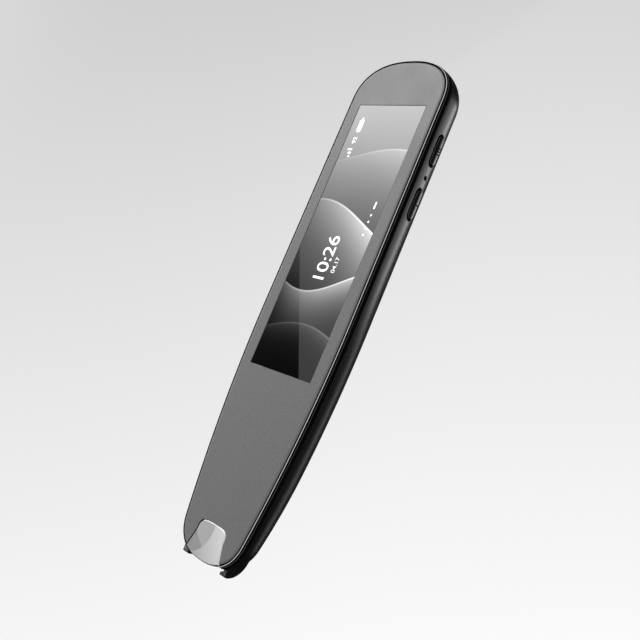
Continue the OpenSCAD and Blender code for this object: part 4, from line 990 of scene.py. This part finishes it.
lamp("key_lamp", (-0.2, 0.22, 0.22), (0, 0.02, 0), (0.2, 0.2), 0.75)
lamp("right_strip", (0.3, 0.05, -0.05), (0, 0, 0), (0.3, 0.05), 0.1)
lamp("left_strip", (-0.3, 0.05, 0.03), (0, 0, 0.01), (0.3, 0.06), 0.2)
lamp("low_lamp", (0.05, 0.09, -0.18), (0.015, 0.07, 0), (0.13, 0.04), 0.085)
lamp("low_side_lamp", (0.115, 0.11, -0.175), (0.015, 0.07, 0), (0.13, 0.09), 0.07)
lamp("low_nose_lamp", (0.045, -0.05, -0.18), (0.015, -0.05, 0), (0.15, 0.045), 0.023)
lamp("end_lamp", (-0.2, 0.33, -0.2), (0, 0.05, 0), (0.3, 0.08), 0.08)

card = sheet("dark_card", (-600, 1200), (-700, 700), -240)
card.visible_camera = card.visible_diffuse = card.visible_transmission = card.visible_shadow = False
felt, t = new_finish("card_felt")[:2]
grey = node(t, "ShaderNodeEmission", Color=(0.02, 0.02, 0.02, 1), Strength=1.0)
t.links.new(grey.outputs["Emission"], t.nodes["Material Output"].inputs["Surface"])
coat_with(card, felt)

world = bpy.data.worlds.new("sky")
bpy.context.scene.world = world
world.use_nodes = True
t = world.node_tree
# The sky lights the left side more; straight and mirrored rays see an even backdrop in its place
air = t.nodes["Background"]
air.inputs["Color"].default_value = (1, 1, 1, 1)
side = node(t, "ShaderNodeSeparateXYZ", {0: t.nodes.new("ShaderNodeTexCoord").outputs["Generated"]})
t.links.new(sums("MULTIPLY_ADD", side.outputs["X"], -0.28, 0.46), air.inputs["Strength"])
seen = node(t, "ShaderNodeBackground")
seen.inputs["Color"].default_value = (0.86, 0.86, 0.86, 1)
pick = node(t, "ShaderNodeMixShader", {"Fac": background_rays(), 1: air.outputs[0], 2: seen.outputs[0]})
t.links.new(pick.outputs[0], t.nodes["World Output"].inputs["Surface"])

scene = bpy.context.scene
scene.view_settings.view_transform = "Standard"
# The camera stands above the pen on its right, turned so that the pen leans in its view
lens = bpy.data.cameras.new("camera")
lens.lens, lens.sensor_width, lens.clip_start, lens.clip_end = 54.048, 36, 0.01, 20
camera = bpy.data.objects.new("camera", lens)
camera.matrix_world = Matrix(((0.632868, -0.174329, 0.754379, 0.181552),
                              (0.385610, 0.915857, -0.111853, -0.029227),
                              (-0.671404, 0.361685, 0.646839, 0.161912), (0, 0, 0, 1)))
scene.collection.objects.link(camera)
scene.camera = camera
